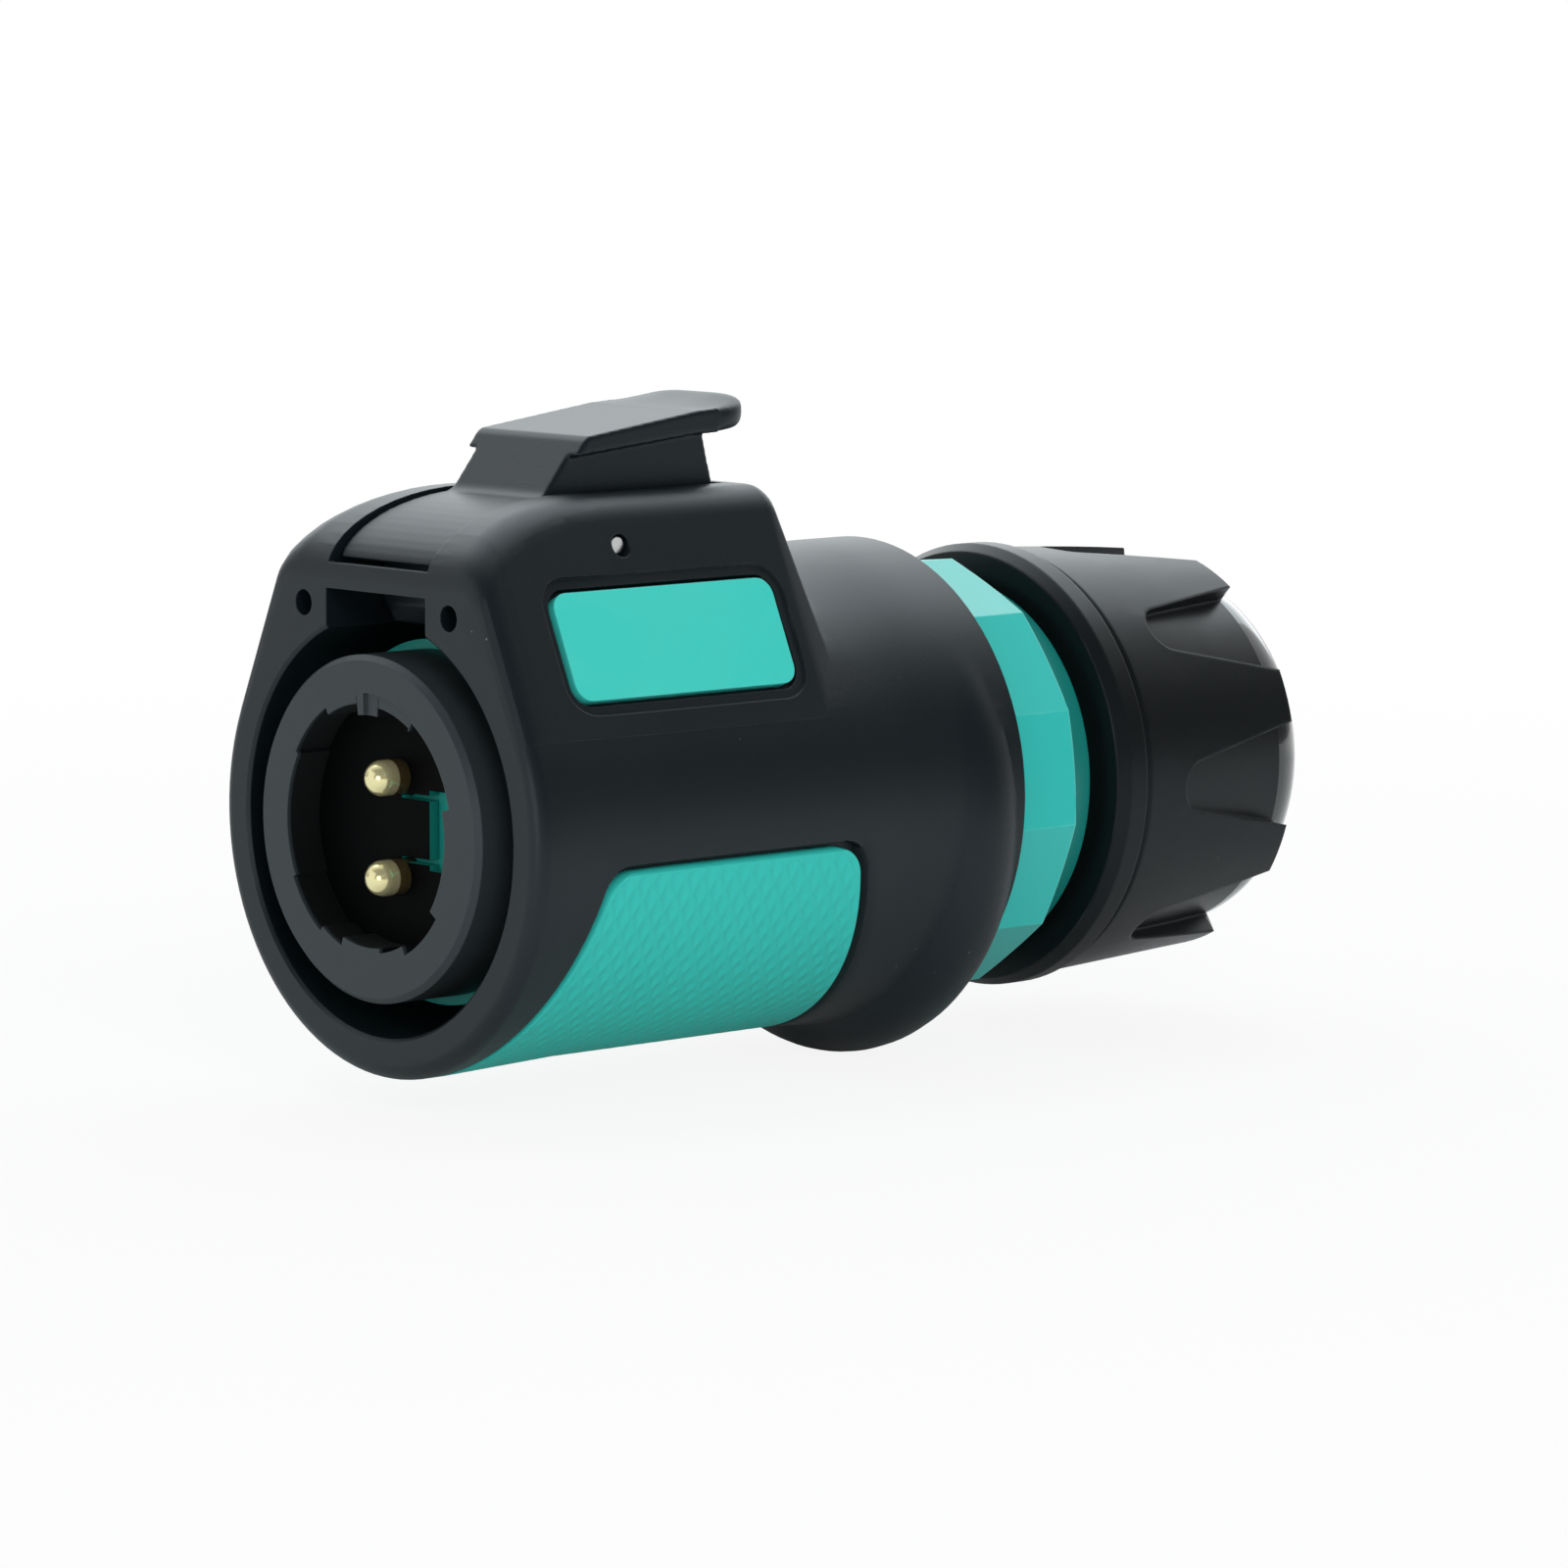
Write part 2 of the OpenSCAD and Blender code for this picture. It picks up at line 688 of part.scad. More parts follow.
// Hook tooth behind the slot
module latch_tooth() {
    top = brow_z(tooth_y + 2, plate_back + plate_t, plate_drop + plate_t) + 0.5;
    sideways(latch_x)
        polygon([[tooth_y + 0.8, tooth_z], [tooth_y + 2.4, tooth_z], [tooth_y + 3, top + 0.4],
                 [tooth_y, top - 0.8], [tooth_y, tooth_z + 1.3]]);
}

// Thumb tab: coplanar with the ramp in front, rear rim turned up, rear corners rounded in plan
module latch_tab() {
    low = tab_z - tab_t;
    // The curl starts at y0 and runs tangent into the round rim, which starts at y1
    y0 = tab_end - 6;
    y1 = tab_end - 1;
    z1 = tab_top(y1) + tab_curl;
    lean = atan(tab_slope + 2 * tab_curl / (y1 - y0));
    rim_r = 0.8;
    rim_z = z1 + rim_r * (1 - cos(lean));
    intersection() {
        sideways(tab_x)
            polygon(concat(
                [[ramp_station(low), low], [ramp_station(tab_z - 0.25), tab_z - 0.25]],
                [[tab_front + 0.15, tab_top(tab_front + 0.15)]],
                [for (i = [0:9]) let (y = y0 + (y1 - y0) * i / 10)
                    [y, tab_top(y) + tab_curl * pow(i / 10, 2)]],
                arc([y1 + rim_r * sin(lean), z1 - rim_r * cos(lean)], rim_r, 90 + lean, -50, 12),
                [[tab_end - 1.6, rim_z - 1.9], [tab_end - 4.6, rim_z - 2.4]]));
        translate([0, 0, tab_z - 4])
            linear_extrude(10)
                offset(r = tab_round, $fn = 2 * corner_fn)
                    translate([-tab_x + tab_round, 0])
                        square([2 * (tab_x - tab_round), tab_end - tab_round]);
    }
}

// Ramp and stem: carries the thumb tab from the hinge boss
module latch_stem() {
    r = ramp_round * tan((atan(ramp_slope) - 4) / 2);
    a = [ramp_y - r, brow_z(ramp_y - r, plate_back, plate_drop) - 0.01];
    b = [ramp_y, foot_z];
    c = b + r * [1, ramp_slope] / norm([1, ramp_slope]);
    low = tab_z - tab_t;
    sideways(stem_x)
        polygon(concat(
            [for (t = [0:0.2:1]) (1 - t) * (1 - t) * a + 2 * t * (1 - t) * b + t * t * c],
            [[ramp_station(low + 0.3), low + 0.3], [stem_end - 0.85, low + 1.3],
             [stem_end, tower_z], [stem_end - 0.6, pivot_z + 0.8], [pivot_y, pivot_z - 1.5],
             [ramp_y - r, pivot_z]]));
}

module latch() color("#43484b") {
    difference() {
        union() {
            latch_plate();
            latch_tooth();
            latch_tab();
            latch_stem();
            translate([0, pivot_y, pivot_z])
                rotate([0, 90, 0])
                    cylinder(r = 1.7, h = 2 * latch_x, center = true, $fn = 48);
        }
        translate([0, pivot_y, pivot_z])
            rotate([0, 90, 0])
                cylinder(d = pivot_d + 2 * pivot_fit, h = 30, center = true, $fn = 48);
        // Blind seat for the spring
        translate([0, spring_y, pivot_z - 3])
            cylinder(d = spring_d + spring_wire + 0.6, h = 3 + spring_seat, $fn = 48);
    }
}

// Height of the spring seat in the stem above the hinge pin
spring_seat = 1.4;

module latch_pin() color("#c9ccce") {
    translate([0, pivot_y, pivot_z])
        rotate([0, 90, 0])
            cylinder(d = pivot_d, h = 2 * hinge_half, center = true, $fn = 48);
}

// The spring as a stack of wire rings joined by a thin core line
module latch_spring() color("#b8bcbf") {
    top = pivot_z + spring_seat - 0.05;
    turns = 5;
    step = (top - bay_floor - spring_wire) / (turns - 1);
    translate([0, spring_y, bay_floor])
        union() {
            for (i = [0:turns - 1])
                translate([0, 0, spring_wire / 2 + i * step])
                    rotate_extrude($fn = 48)
                        translate([spring_d / 2, 0])
                            circle(d = spring_wire, $fn = 16);
            for (i = [0:turns - 2])
                rotate([0, 0, i % 2 * 180])
                    translate([spring_d / 2, 0, spring_wire / 2 + i * step])
                        cylinder(d = spring_wire * 0.9, h = step, $fn = 16);
        }
}

// A wedge from the plug axis, with angles above the horizontal
module wedge(r, a0, a1) {
    polygon(concat([[0, 0]], arc([0, 0], r, a0, a1, 6)));
}

// Outline of the barrel bore: the full circle less the guide lands and the key
module bore_outline() {
    r = barrel_bore_d / 2;
    difference() {
        circle(r = r, $fn = round_fn);
        for (l = lands)
            difference() {
                wedge(2 * r, l[0], l[1]);
                circle(r = r - l[2], $fn = round_fn);
            }
        difference() {
            wedge(2 * r, 90 - key_angle / 2, 90 + key_angle / 2);
            circle(r = key_r, $fn = round_fn);
        }
    }
}

// Contact barrel with guide lands and key in front of the face plate
module contact_barrel() color("#42494c") {
    difference() {
        turned([[0, 0], [barrel_d / 2 - 0.35, 0], [barrel_d / 2, 0.35],
                [barrel_d / 2, barrel_free], [root_d / 2, barrel_free], [root_d / 2, root_y],
                [0, root_y]]);
        across(-1, face_y + 0.1)
            bore_outline();
        bar(barrel_bore_d / 2, face_y, root_y + 1);
        // Sunk step in the rim over the key
        across(-1, rim_step)
            intersection() {
                wedge(barrel_d, 58, 92);
                circle(r = barrel_bore_d / 2 + rim_step, $fn = round_fn);
            }
    }
}

// Holes for the two contact pins
module pin_holes(d, y0, y1) {
    for (s = [-1, 1])
        translate([0, 0, s * pin_pitch / 2])
            bar(d / 2, y0, y1);
}

module face_plate() color("#101314") {
    difference() {
        bar(insert_r, face_y, carrier_y);
        pin_holes(pin_d + 2 * pin_fit, face_y - 1, carrier_y + 1);
        // Side window and the slits that join it to the pin holes
        translate([window_x + 5, 0, 0])
            cube([10, 2 * carrier_y + 2, window_h], center = true);
        for (s = [-1, 1])
            translate([window_x / 2 + 0.2, 0, s * slit_pitch / 2])
                cube([window_x, 2 * carrier_y + 2, slit_w], center = true);
    }
}

module contact_carrier() color("#1fa196") {
    difference() {
        union() {
            bar(insert_r, carrier_y, root_y);
            bar(root_d / 2, root_y, ring_y);
        }
        pin_holes(pin_d + 2 * round_gap, carrier_y - 1, ring_y + 1);
        pin_holes(terminal_d + 2 * round_gap, root_y, ring_y + 1);
    }
}

module carrier_lock_ring() color("#2c2f31") {
    difference() {
        tube(root_d / 2, 7, ring_y, ring_end);
        for (i = [0:3])
            turn_up(45 + 90 * i)
                translate([8.5, ring_end, 0])
                    cube([1.6, 2, 2.4], center = true);
    }
}

module contact(s) color("#e8c766") {
    tip = pin_recess;
    end = root_y + carrier_flange_t + terminal_len;
    translate([0, 0, s * pin_pitch / 2])
        difference() {
            turned(concat(
                [[0, tip]],
                [for (p = arc([0, tip + pin_d / 2], pin_d / 2, -75, 0, 8)) p],
                [[pin_d / 2, root_y], [terminal_d / 2, root_y], [terminal_d / 2, end], [0, end]]));
            bar(wire_hole_d / 2, end - 7, end + 1);
            translate([0, screw_y, 0])
                cylinder(d = screw_d, h = 2 * terminal_d, center = false, $fn = 32);
        }
}

// Station of the terminal screws
screw_y = ring_end + 4.6;

module contact_upper() {
    contact(1);
}

module contact_lower() {
    rotate([0, 180, 0])
        contact(1);
}

module terminal_screw() color("#b9bdc0") {
    z0 = pin_pitch / 2 + wire_hole_d / 2 - 0.3;
    difference() {
        translate([0, screw_y, z0])
            cylinder(d = screw_d, h = terminal_d / 2 - wire_hole_d / 2 + 1.1, $fn = 32);
        translate([0, screw_y, z0 + terminal_d / 2 - wire_hole_d / 2 + 1.1])
            cube([4, 0.4, 0.8], center = true);
    }
}

module terminal_screw_upper() {
    terminal_screw();
}

module terminal_screw_lower() {
    rotate([0, 180, 0])
        terminal_screw();
}

// Core body: one long sleeve that carries the barrel, the housing and the gland
module core_body() color("#2bb3a7") {
    r = core_d / 2;
    difference() {
        union() {
            bar(r, barrel_free, core_end);
            bar(shoulder_d / 2, housing_floor - shoulder_t, housing_floor);
        }
        bar(root_d / 2, barrel_free - 1, ring_end);
        bar(core_bore_d / 2, barrel_free - 1, core_end + 1);
        bar(cage_d / 2, cage_y, core_end + 1);
        tube(r + 1, r - oring_d, core_oring_y - oring_d * 0.6, core_oring_y + oring_d * 0.6);
    }
}

// An O-ring on the plug axis
module oring(d, y) {
    along_axis(y)
        rotate_extrude($fn = round_fn)
            translate([d / 2, 0])
                circle(d = oring_d, $fn = 24);
}

module core_seal() color("#15181a") {
    oring(core_d - oring_d, core_oring_y);
}

// Lock collar with wrench flats, screwed on the core behind the housing
module lock_collar() color("#38bab2") {
    difference() {
        union() {
            intersection() {
                along_axis(collar_y)
                    rotate([0, 0, -flats_turn])
                        cylinder(d = flats_d, h = collar_len, $fn = flats);
                turned([[0, collar_y - 1], [flats_d / 2 + 1, collar_y - 1],
                        [flats_d / 2 + 1, flange_start - 3 * collar_bevel],
                        [flats_d / 2 * cos(180 / flats) - collar_bevel, flange_start + e],
                        [0, flange_start + e]]);
            }
            bar(collar_flange_d / 2, flange_start - 1, flange_end);
        }
        bar(core_d / 2 + round_gap, collar_y - 1, flange_end + 1);
        tube((collar_oring_d + oring_d) / 2 + round_gap, (collar_oring_d - oring_d) / 2 - round_gap,
             collar_y - 1, collar_y + oring_d);
    }
}

module collar_seal() color("#15181a") {
    oring(collar_oring_d, collar_y + oring_d / 2);
}

// Clamp cage: a root ring with fingers that close on the grommet
module clamp_cage() color("#e3e5e4") {
    difference() {
        turned([[finger_bore_d / 2, cage_y], [cage_d / 2, cage_y], [cage_d / 2, core_end],
                [cage_d / 2 - 0.3, core_end + 1], [finger_tip_d / 2, finger_end],
                [finger_bore_d / 2, finger_end]]);
        for (i = [0:fingers - 1])
            turn_up(360 / fingers * (i + 0.5))
                translate([cage_d / 2, core_end + 1.5 + finger_len / 2, 0])
                    cube([cage_d, finger_len, finger_slot], center = true);
    }
}

module cable_grommet() color("#aeb2b3") {
    r = finger_bore_d / 2 - round_gap;
    lip_r = nut_hole_d / 2 - stack_gap;
    turned([[cable_d / 2, cage_y + 1], [r, cage_y + 1], [r, washer_end - 1],
            [lip_r, washer_end - 0.1], [lip_r, grommet_end - 0.5], [lip_r - 0.5, grommet_end],
            [cable_d / 2, grommet_end]]);
}

module slip_washer() color("#1b1e20") {
    tube(finger_tip_d / 2 + 0.4, finger_bore_d / 2 + 0.2, washer_y, washer_end);
}

// Gland nut: front lip, tapered body, scallops between lobes, rounded rear
module scallop_outline() {
    c = [0, scallop_start + scallop_round];
    run = nut_end - c[1];
    tangent = atan2(run, scallop_half) - acos(scallop_round / norm([scallop_half, run]));
    polygon(concat(
        arc(c, scallop_round, tangent, -180 - tangent, 16),
        [[-scallop_half, nut_end], [-scallop_half, nut_end + 2],
         [scallop_half, nut_end + 2], [scallop_half, nut_end]]));
}

module nut_scallops() {
    for (i = [0:lobes - 1])
        turn_up(lobe_turn + 360 / lobes * (i + 0.5))
            translate([nut_hole_d / 2, 0, 0])
                rotate([0, 90, 0])
                    linear_extrude(nut_lip_d)
                        scallop_outline();
}

module gland_nut() color("#24272a") {
    lip = nut_lip_d / 2;
    body = nut_body_d / 2;
    rear = nut_rear_d / 2;
    slope = (body - rear) / (nut_lobe_end - nut_front - nut_lip_len);
    floor_front = body - slope * (scallop_start - nut_front - nut_lip_len) - scallop_step;
    floor_rear = rear - scallop_depth;
    thread_r = core_d / 2 + round_gap;
    seat_y = washer_end + stack_gap / 2;
    groove_y = nut_front + nut_lip_len;
    difference() {
        union() {
            difference() {
                turned([[0, nut_front], [lip - 0.5, nut_front], [lip, nut_front + 0.8],
                        [lip, groove_y - 0.2], [lip - 0.2, groove_y], [body - nut_groove_t, groove_y],
                        [body - nut_groove_t, groove_y + 0.25], [body, groove_y + 0.6],
                        [rear, nut_lobe_end - 0.1], [rear - 0.1, nut_lobe_end],
                        [floor_rear - 0.5, nut_lobe_end + 0.4], [0, nut_lobe_end + 0.4]]);
                nut_scallops();
            }
            turned(concat(
                [[0, nut_front + 1], [floor_front, nut_front + 1], [floor_front, scallop_start - 0.4]],
                arc([floor_rear - nut_shoulder, nut_end - nut_shoulder], nut_shoulder, 0, 90, 12),
                [[0, nut_end]]));
        }
        // Threaded mouth, cone over the fingers, washer seat and cable hole
        bar(thread_r, nut_front - 1, core_end + 0.6);
        turned([[0, core_end], [thread_r, core_end], [thread_r, core_end + 0.6],
                [cage_d / 2 + 0.5, core_end + 1.8], [finger_tip_d / 2 + 0.8, finger_end],
                [finger_tip_d / 2 + 0.8, seat_y], [0, seat_y]]);
        bar(nut_hole_d / 2, seat_y - 1, nut_end + 1);
        turned([[0, nut_end - 0.6], [nut_hole_d / 2, nut_end - 0.6],
                [nut_hole_d / 2 + 0.7, nut_end + 0.1], [0, nut_end + 0.1]]);
    }
}

housing();
name_plate_left();
name_plate_right();
grip_pad();
latch();
latch_pin();
latch_spring();
contact_barrel();
face_plate();
contact_carrier();
carrier_lock_ring();
contact_upper();
contact_lower();
terminal_screw_upper();
terminal_screw_lower();
core_body();
core_seal();
lock_collar();
collar_seal();
clamp_cage();
cable_grommet();
slip_washer();
gland_nut();
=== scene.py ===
"""Visual model of a round power plug with a push latch and a cable gland."""
import logging
import math
from dataclasses import dataclass, field
from enum import Enum
from typing import Callable, Dict, Iterable, List, Optional, Sequence, Tuple, Union

import bmesh
import bpy
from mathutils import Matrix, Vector


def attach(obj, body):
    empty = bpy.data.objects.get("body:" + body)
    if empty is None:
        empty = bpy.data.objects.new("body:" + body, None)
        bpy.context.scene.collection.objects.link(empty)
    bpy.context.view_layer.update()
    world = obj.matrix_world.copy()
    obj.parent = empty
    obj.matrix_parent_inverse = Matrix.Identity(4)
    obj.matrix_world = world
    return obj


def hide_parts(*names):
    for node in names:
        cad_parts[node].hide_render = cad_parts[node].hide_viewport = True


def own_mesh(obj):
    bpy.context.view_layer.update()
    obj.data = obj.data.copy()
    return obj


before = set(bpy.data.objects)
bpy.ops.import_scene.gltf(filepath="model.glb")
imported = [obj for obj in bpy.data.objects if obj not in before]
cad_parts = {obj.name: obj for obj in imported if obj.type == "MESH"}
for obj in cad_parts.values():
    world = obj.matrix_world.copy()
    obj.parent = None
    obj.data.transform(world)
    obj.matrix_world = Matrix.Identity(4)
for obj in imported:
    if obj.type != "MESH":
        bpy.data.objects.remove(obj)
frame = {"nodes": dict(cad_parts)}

LOG = logging.getLogger("plug")
MM = 0.001
SMOOTH_BELOW_DEG = 40.0
Colour = Tuple[float, float, float]
Point = Tuple[float, float, float]
Span = Tuple[float, float]
Given = Dict[Union[int, str], object]
CadNodes = Dict[str, bpy.types.Object]
Node = bpy.types.Node
Socket = bpy.types.NodeSocket
WHITE: Colour = (1.0, 1.0, 1.0)
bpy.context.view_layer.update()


class Body(Enum):
    """The bodies that new pieces ride on; the CAD nodes ride on their own."""

    PLUG = "plug"


class Slot(Enum):
    """The record's material slots for the new pieces' finishes; the pieces here take their materials from the
    palette.
    """

    GRIP = "grip_teal"
    SPRING = "spring_steel"


def share_of(value: float, span: Span) -> float:
    """How far a value has come along a span, from 0 to 1."""
    return min(1.0, max(0.0, (value - span[0]) / (span[1] - span[0])))


def rounded_inset(radius: float, distance: float) -> float:
    """How far the surface of a rounded edge stands back.

    Args:
        radius: the edge's radius.
        distance: distance from the rim.

    Returns:
        The radius at the rim, and 0 where the rounding ends.
    """
    short = radius - min(distance, radius)
    return radius - math.sqrt(max(0.0, radius**2 - short**2))


class Graph:
    """A short way to add nodes to one node tree."""

    def __init__(self, tree: bpy.types.NodeTree) -> None:
        """Starts on a tree.

        Args:
            tree: the node tree that nodes are added to.
        """
        self.tree = tree

    def feed(self, target: Socket, value: object) -> None:
        """Links or sets an input.

        Args:
            target: the input.
            value: an output, a number, a vector, a text, or a colour without its alpha.
        """
        if isinstance(value, Socket):
            self.tree.links.new(value, target)
        elif target.type == "RGBA":
            target.default_value = (*value, 1.0)
        else:
            target.default_value = value

    def add(self, kind: str, given: Optional[Given] = None, **settings: object) -> Node:
        """Adds a node.

        Args:
            kind: the node's type name.
            given: what its inputs are fed, by their names or numbers.
            **settings: properties of the node.

        Returns:
            The new node.
        """
        node = self.tree.nodes.new(kind)
        for name, value in settings.items():
            setattr(node, name, value)
        for key, value in (given or {}).items():
            self.feed(node.inputs[key], value)
        return node

    def math(self, operation: str, *values: object, clamp: bool = False) -> Socket:
        """Adds a Math node.

        Args:
            operation: what the node works out.
            *values: sockets or numbers.
            clamp: keeps the result from 0 to 1.

        Returns:
            The result.
        """
        given = dict(enumerate(values))
        return self.add("ShaderNodeMath", given, operation=operation, use_clamp=clamp).outputs[0]

    def product(self, first: Socket, *others: object) -> Socket:
        """Multiplies values in their order.

        Args:
            first: a socket.
            *others: sockets or numbers.

        Returns:
            Their product.
        """
        for value in others:
            first = self.math("MULTIPLY", first, value)
        return first

    def dot(self, a: object, b: object) -> Socket:
        """The dot product of two vectors."""
        return self.add("ShaderNodeVectorMath", {0: a, 1: b}, operation="DOT_PRODUCT").outputs["Value"]

    def parts(self, vector: Socket) -> Tuple[Socket, ...]:
        """The X, Y and Z of a vector."""
        return tuple(self.add("ShaderNodeSeparateXYZ", {0: vector}).outputs)

    def axis_distance(self, x: Socket, z: Socket) -> Socket:
        """Distance from the plug axis."""
        return self.math("SQRT", self.math("ADD", self.product(x, x), self.product(z, z)))

    def blend(self, factor: Socket, low: object, high: object) -> Socket:
        """Mixes two colours.

        Args:
            factor: the share of the second colour.
            low: a socket or a colour shown at factor 0.
            high: a socket or a colour shown at factor 1.

        Returns:
            The mixed colour.
        """
        return self.add("ShaderNodeMix", {0: factor, 6: low, 7: high}, data_type="RGBA").outputs[2]

    def spread(self, value: Socket, span: Span) -> Socket:
        """Stretches a span over 0 to 1 and cuts off the rest.

        Args:
            value: the value that is stretched.
            span: what gives 0 and what gives 1.

        Returns:
            The stretched value.
        """
        given = {"Value": value, "From Min": span[0], "From Max": span[1]}
        return self.add("ShaderNodeMapRange", given, clamp=True).outputs["Result"]

    def zone(self, value: Socket, span: Span) -> Socket:
        """Stretches a span given in millimetres of a length in metres over 0 to 1."""
        return self.spread(value, (span[0] * MM, span[1] * MM))


def empty_graph(owner: Union[bpy.types.Material, bpy.types.World]) -> Graph:
    """Gives a material or a world a node tree with nothing in it.

    Args:
        owner: the material or world.

    Returns:
        A graph on its tree.
    """
    owner.use_nodes = True
    owner.node_tree.nodes.clear()
    return Graph(owner.node_tree)


class GeometryGroup:
    """A Geometry Nodes group that takes in a mesh and puts it out changed."""

    def __init__(self, name: str) -> None:
        """Starts the group.

        Args:
            name: the name of the group and of its modifiers.
        """
        self.tree = bpy.data.node_groups.new(name, "GeometryNodeTree")
        for way in ("INPUT", "OUTPUT"):
            self.tree.interface.new_socket(name="Geometry", in_out=way, socket_type="NodeSocketGeometry")
        self.graph = Graph(self.tree)

    def lead(self, *steps: Node) -> None:
        """Leads the mesh through the steps and out.

        Args:
            *steps: nodes, in order, that take in and put out the mesh first.
        """
        mesh = self.graph.add("NodeGroupInput").outputs[0]
        for step in steps:
            self.graph.feed(step.inputs[0], mesh)
            mesh = step.outputs[0]
        self.graph.add("NodeGroupOutput", {0: mesh})

    def put(self, obj: bpy.types.Object) -> None:
        """Adds the modifier to an object."""
        obj.modifiers.new(self.tree.name, "NODES").node_group = self.tree


class Effect(Enum):
    """Shader effects that more than one finish uses."""

    GRAIN = "moulded_grain"
    # Lightened edges: rubbed wear, and a painted highlight where a finish sets it high.
    WEAR_AND_HIGHLIGHT = "edge_wear_and_highlight"
    HANDLING = "handling_marks"
    SPECKS = "dust_specks"
    FLOW = "mould_flow"
    BEHIND = "behind_a_station"
    BORE = "inside_a_bore"


@dataclass(frozen=True)
class Noise:
    """A noise texture, whose scale counts in the size of its effect."""

    scale: float
    detail: float
    rough: float = 0.5
    distortion: float = 0.0

    def put(self, graph: Graph, place: Socket) -> Socket:
        """Adds the texture.

        Args:
            graph: where it is added.
            place: its coordinates.

        Returns:
            Its value.
        """
        noise = graph.add("ShaderNodeTexNoise", {
            "Vector": place, "Scale": self.scale, "Detail": self.detail, "Roughness": self.rough,
            "Distortion": self.distortion})
        return noise.outputs["Fac"]


class Effects:
    """Builds each shared shader group once and places it in materials.

    Where a span falls, the mask is 1 below it and 0 above it. Stations and radii are in millimetres.
    """

    PIT_SMOOTHNESS = 0.6
    PIT_SHARE = 0.7
    FINE_GRAIN = Noise(2.3, 2.0)
    FINE_SHARE = 0.5
    EDGE_MARK_RADIUS = 0.2
    EDGE_MARK_SAMPLES = 6
    EDGE_MARK_BEND = (0.98, 0.8)
    EDGE_MARK_PATCHES = Noise(0.5, 3.0)
    EDGE_MARK_SPAN = (0.35, 0.7)
    BROAD_MARKS = Noise(0.6, 2.0, 0.45)
    BROAD_SHARE = 0.7
    STREAKS = Noise(1.9, 4.0, 0.6)
    STREAK_SHARE = 0.3
    NOISE_MIDDLE = 0.5
    SPECK_SPAN = (0.055, 0.03)
    SPECK_PICK = Noise(0.31, 0.0)
    PICK_SPAN = (0.62, 0.66)
    FLOW_LINES = Noise(0.35, 3.0, distortion=1.6)
    FLOW_SPAN = (0.5, 0.78)
    STATION_SPAN = (-0.04, 0.04)
    WALL_SPAN = (0.05, -0.05)
    BORE_START = (0.22, 0.3)

    def __init__(self) -> None:
        """Builds all groups."""
        makers: Dict[Effect, Callable[[Graph, Socket], Socket]] = {
            Effect.GRAIN: self._grain,
            Effect.WEAR_AND_HIGHLIGHT: self._wear_and_highlight,
            Effect.HANDLING: self._handling,
            Effect.SPECKS: self._specks,
            Effect.FLOW: self._flow,
            Effect.BEHIND: self._behind,
            Effect.BORE: self._bore,
        }
        self.groups = {effect: self._group(effect, maker) for effect, maker in makers.items()}

    @staticmethod
    def _group(effect: Effect, maker: Callable[[Graph, Socket], Socket]) -> bpy.types.NodeTree:
        """Makes one group with the sockets that all effects share.

        Args:
            effect: which effect.
            maker: adds the effect's own nodes.

        Returns:
            The group's node tree.
        """
        tree = bpy.data.node_groups.new(effect.value, "ShaderNodeTree")
        for name in ("Size", "Amount"):
            socket = tree.interface.new_socket(name=name, in_out="INPUT", socket_type="NodeSocketFloat")
            socket.default_value = 1.0
        tree.interface.new_socket(name="Mask", in_out="OUTPUT", socket_type="NodeSocketFloat")
        graph = Graph(tree)
        inputs = graph.add("NodeGroupInput").outputs
        mask = graph.product(maker(graph, inputs["Size"]), inputs["Amount"])
        graph.add("NodeGroupOutput", {"Mask": mask})
        return tree

    @staticmethod
    def _place(graph: Graph, size: object) -> Socket:
        """The object's own coordinates.

        Args:
            graph: where they are added.
            size: the length that they count in, in millimetres.

        Returns:
            The coordinates.
        """
        own = graph.add("ShaderNodeTexCoord").outputs["Object"]
        scale = graph.math("DIVIDE", 1 / MM, size)
        return graph.add("ShaderNodeVectorMath", {0: own, "Scale": scale}, operation="SCALE").outputs[0]

    def _grain(self, graph: Graph, size: Socket) -> Socket:
        """The fine eroded grain of a moulded surface: rounded pits with a little roughness between.

        Args:
            graph: the group's graph.
            size: about the width of a pit.

        Returns:
            The height.
        """
        place = self._place(graph, size)
        given = {"Vector": place, "Scale": 1.0, "Smoothness": self.PIT_SMOOTHNESS}
        pits = graph.add("ShaderNodeTexVoronoi", given, feature="SMOOTH_F1").outputs["Distance"]
        fine = self.FINE_GRAIN.put(graph, place)
        return graph.math("ADD", graph.product(pits, self.PIT_SHARE), graph.product(fine, self.FINE_SHARE))

    def _wear_and_highlight(self, graph: Graph, size: Socket) -> Socket:
        """Lightened edges, broken up by noise: rubbed wear, and where a finish sets it high, a painted
        highlight along the edges.

        Args:
            graph: the group's graph.
            size: about half the length of a worn stretch.

        Returns:
            The mask.
        """
        given = {"Radius": self.EDGE_MARK_RADIUS * MM}
        rounded = graph.add("ShaderNodeBevel", given, samples=self.EDGE_MARK_SAMPLES).outputs["Normal"]
        plain = graph.add("ShaderNodeNewGeometry").outputs["Normal"]
        edge = graph.spread(graph.dot(rounded, plain), self.EDGE_MARK_BEND)
        patches = self.EDGE_MARK_PATCHES.put(graph, self._place(graph, size))
        return graph.product(edge, graph.spread(patches, self.EDGE_MARK_SPAN))

    def _handling(self, graph: Graph, size: Socket) -> Socket:
        """Broad soft patches where hands have changed the gloss.

        Args:
            graph: the group's graph.
            size: about half the width of a patch.

        Returns:
            The change, round 0.
        """
        place = self._place(graph, size)
        broad = graph.product(self.BROAD_MARKS.put(graph, place), self.BROAD_SHARE)
        streaks = graph.product(self.STREAKS.put(graph, place), self.STREAK_SHARE)
        return graph.math("SUBTRACT", graph.math("ADD", broad, streaks), self.NOISE_MIDDLE)

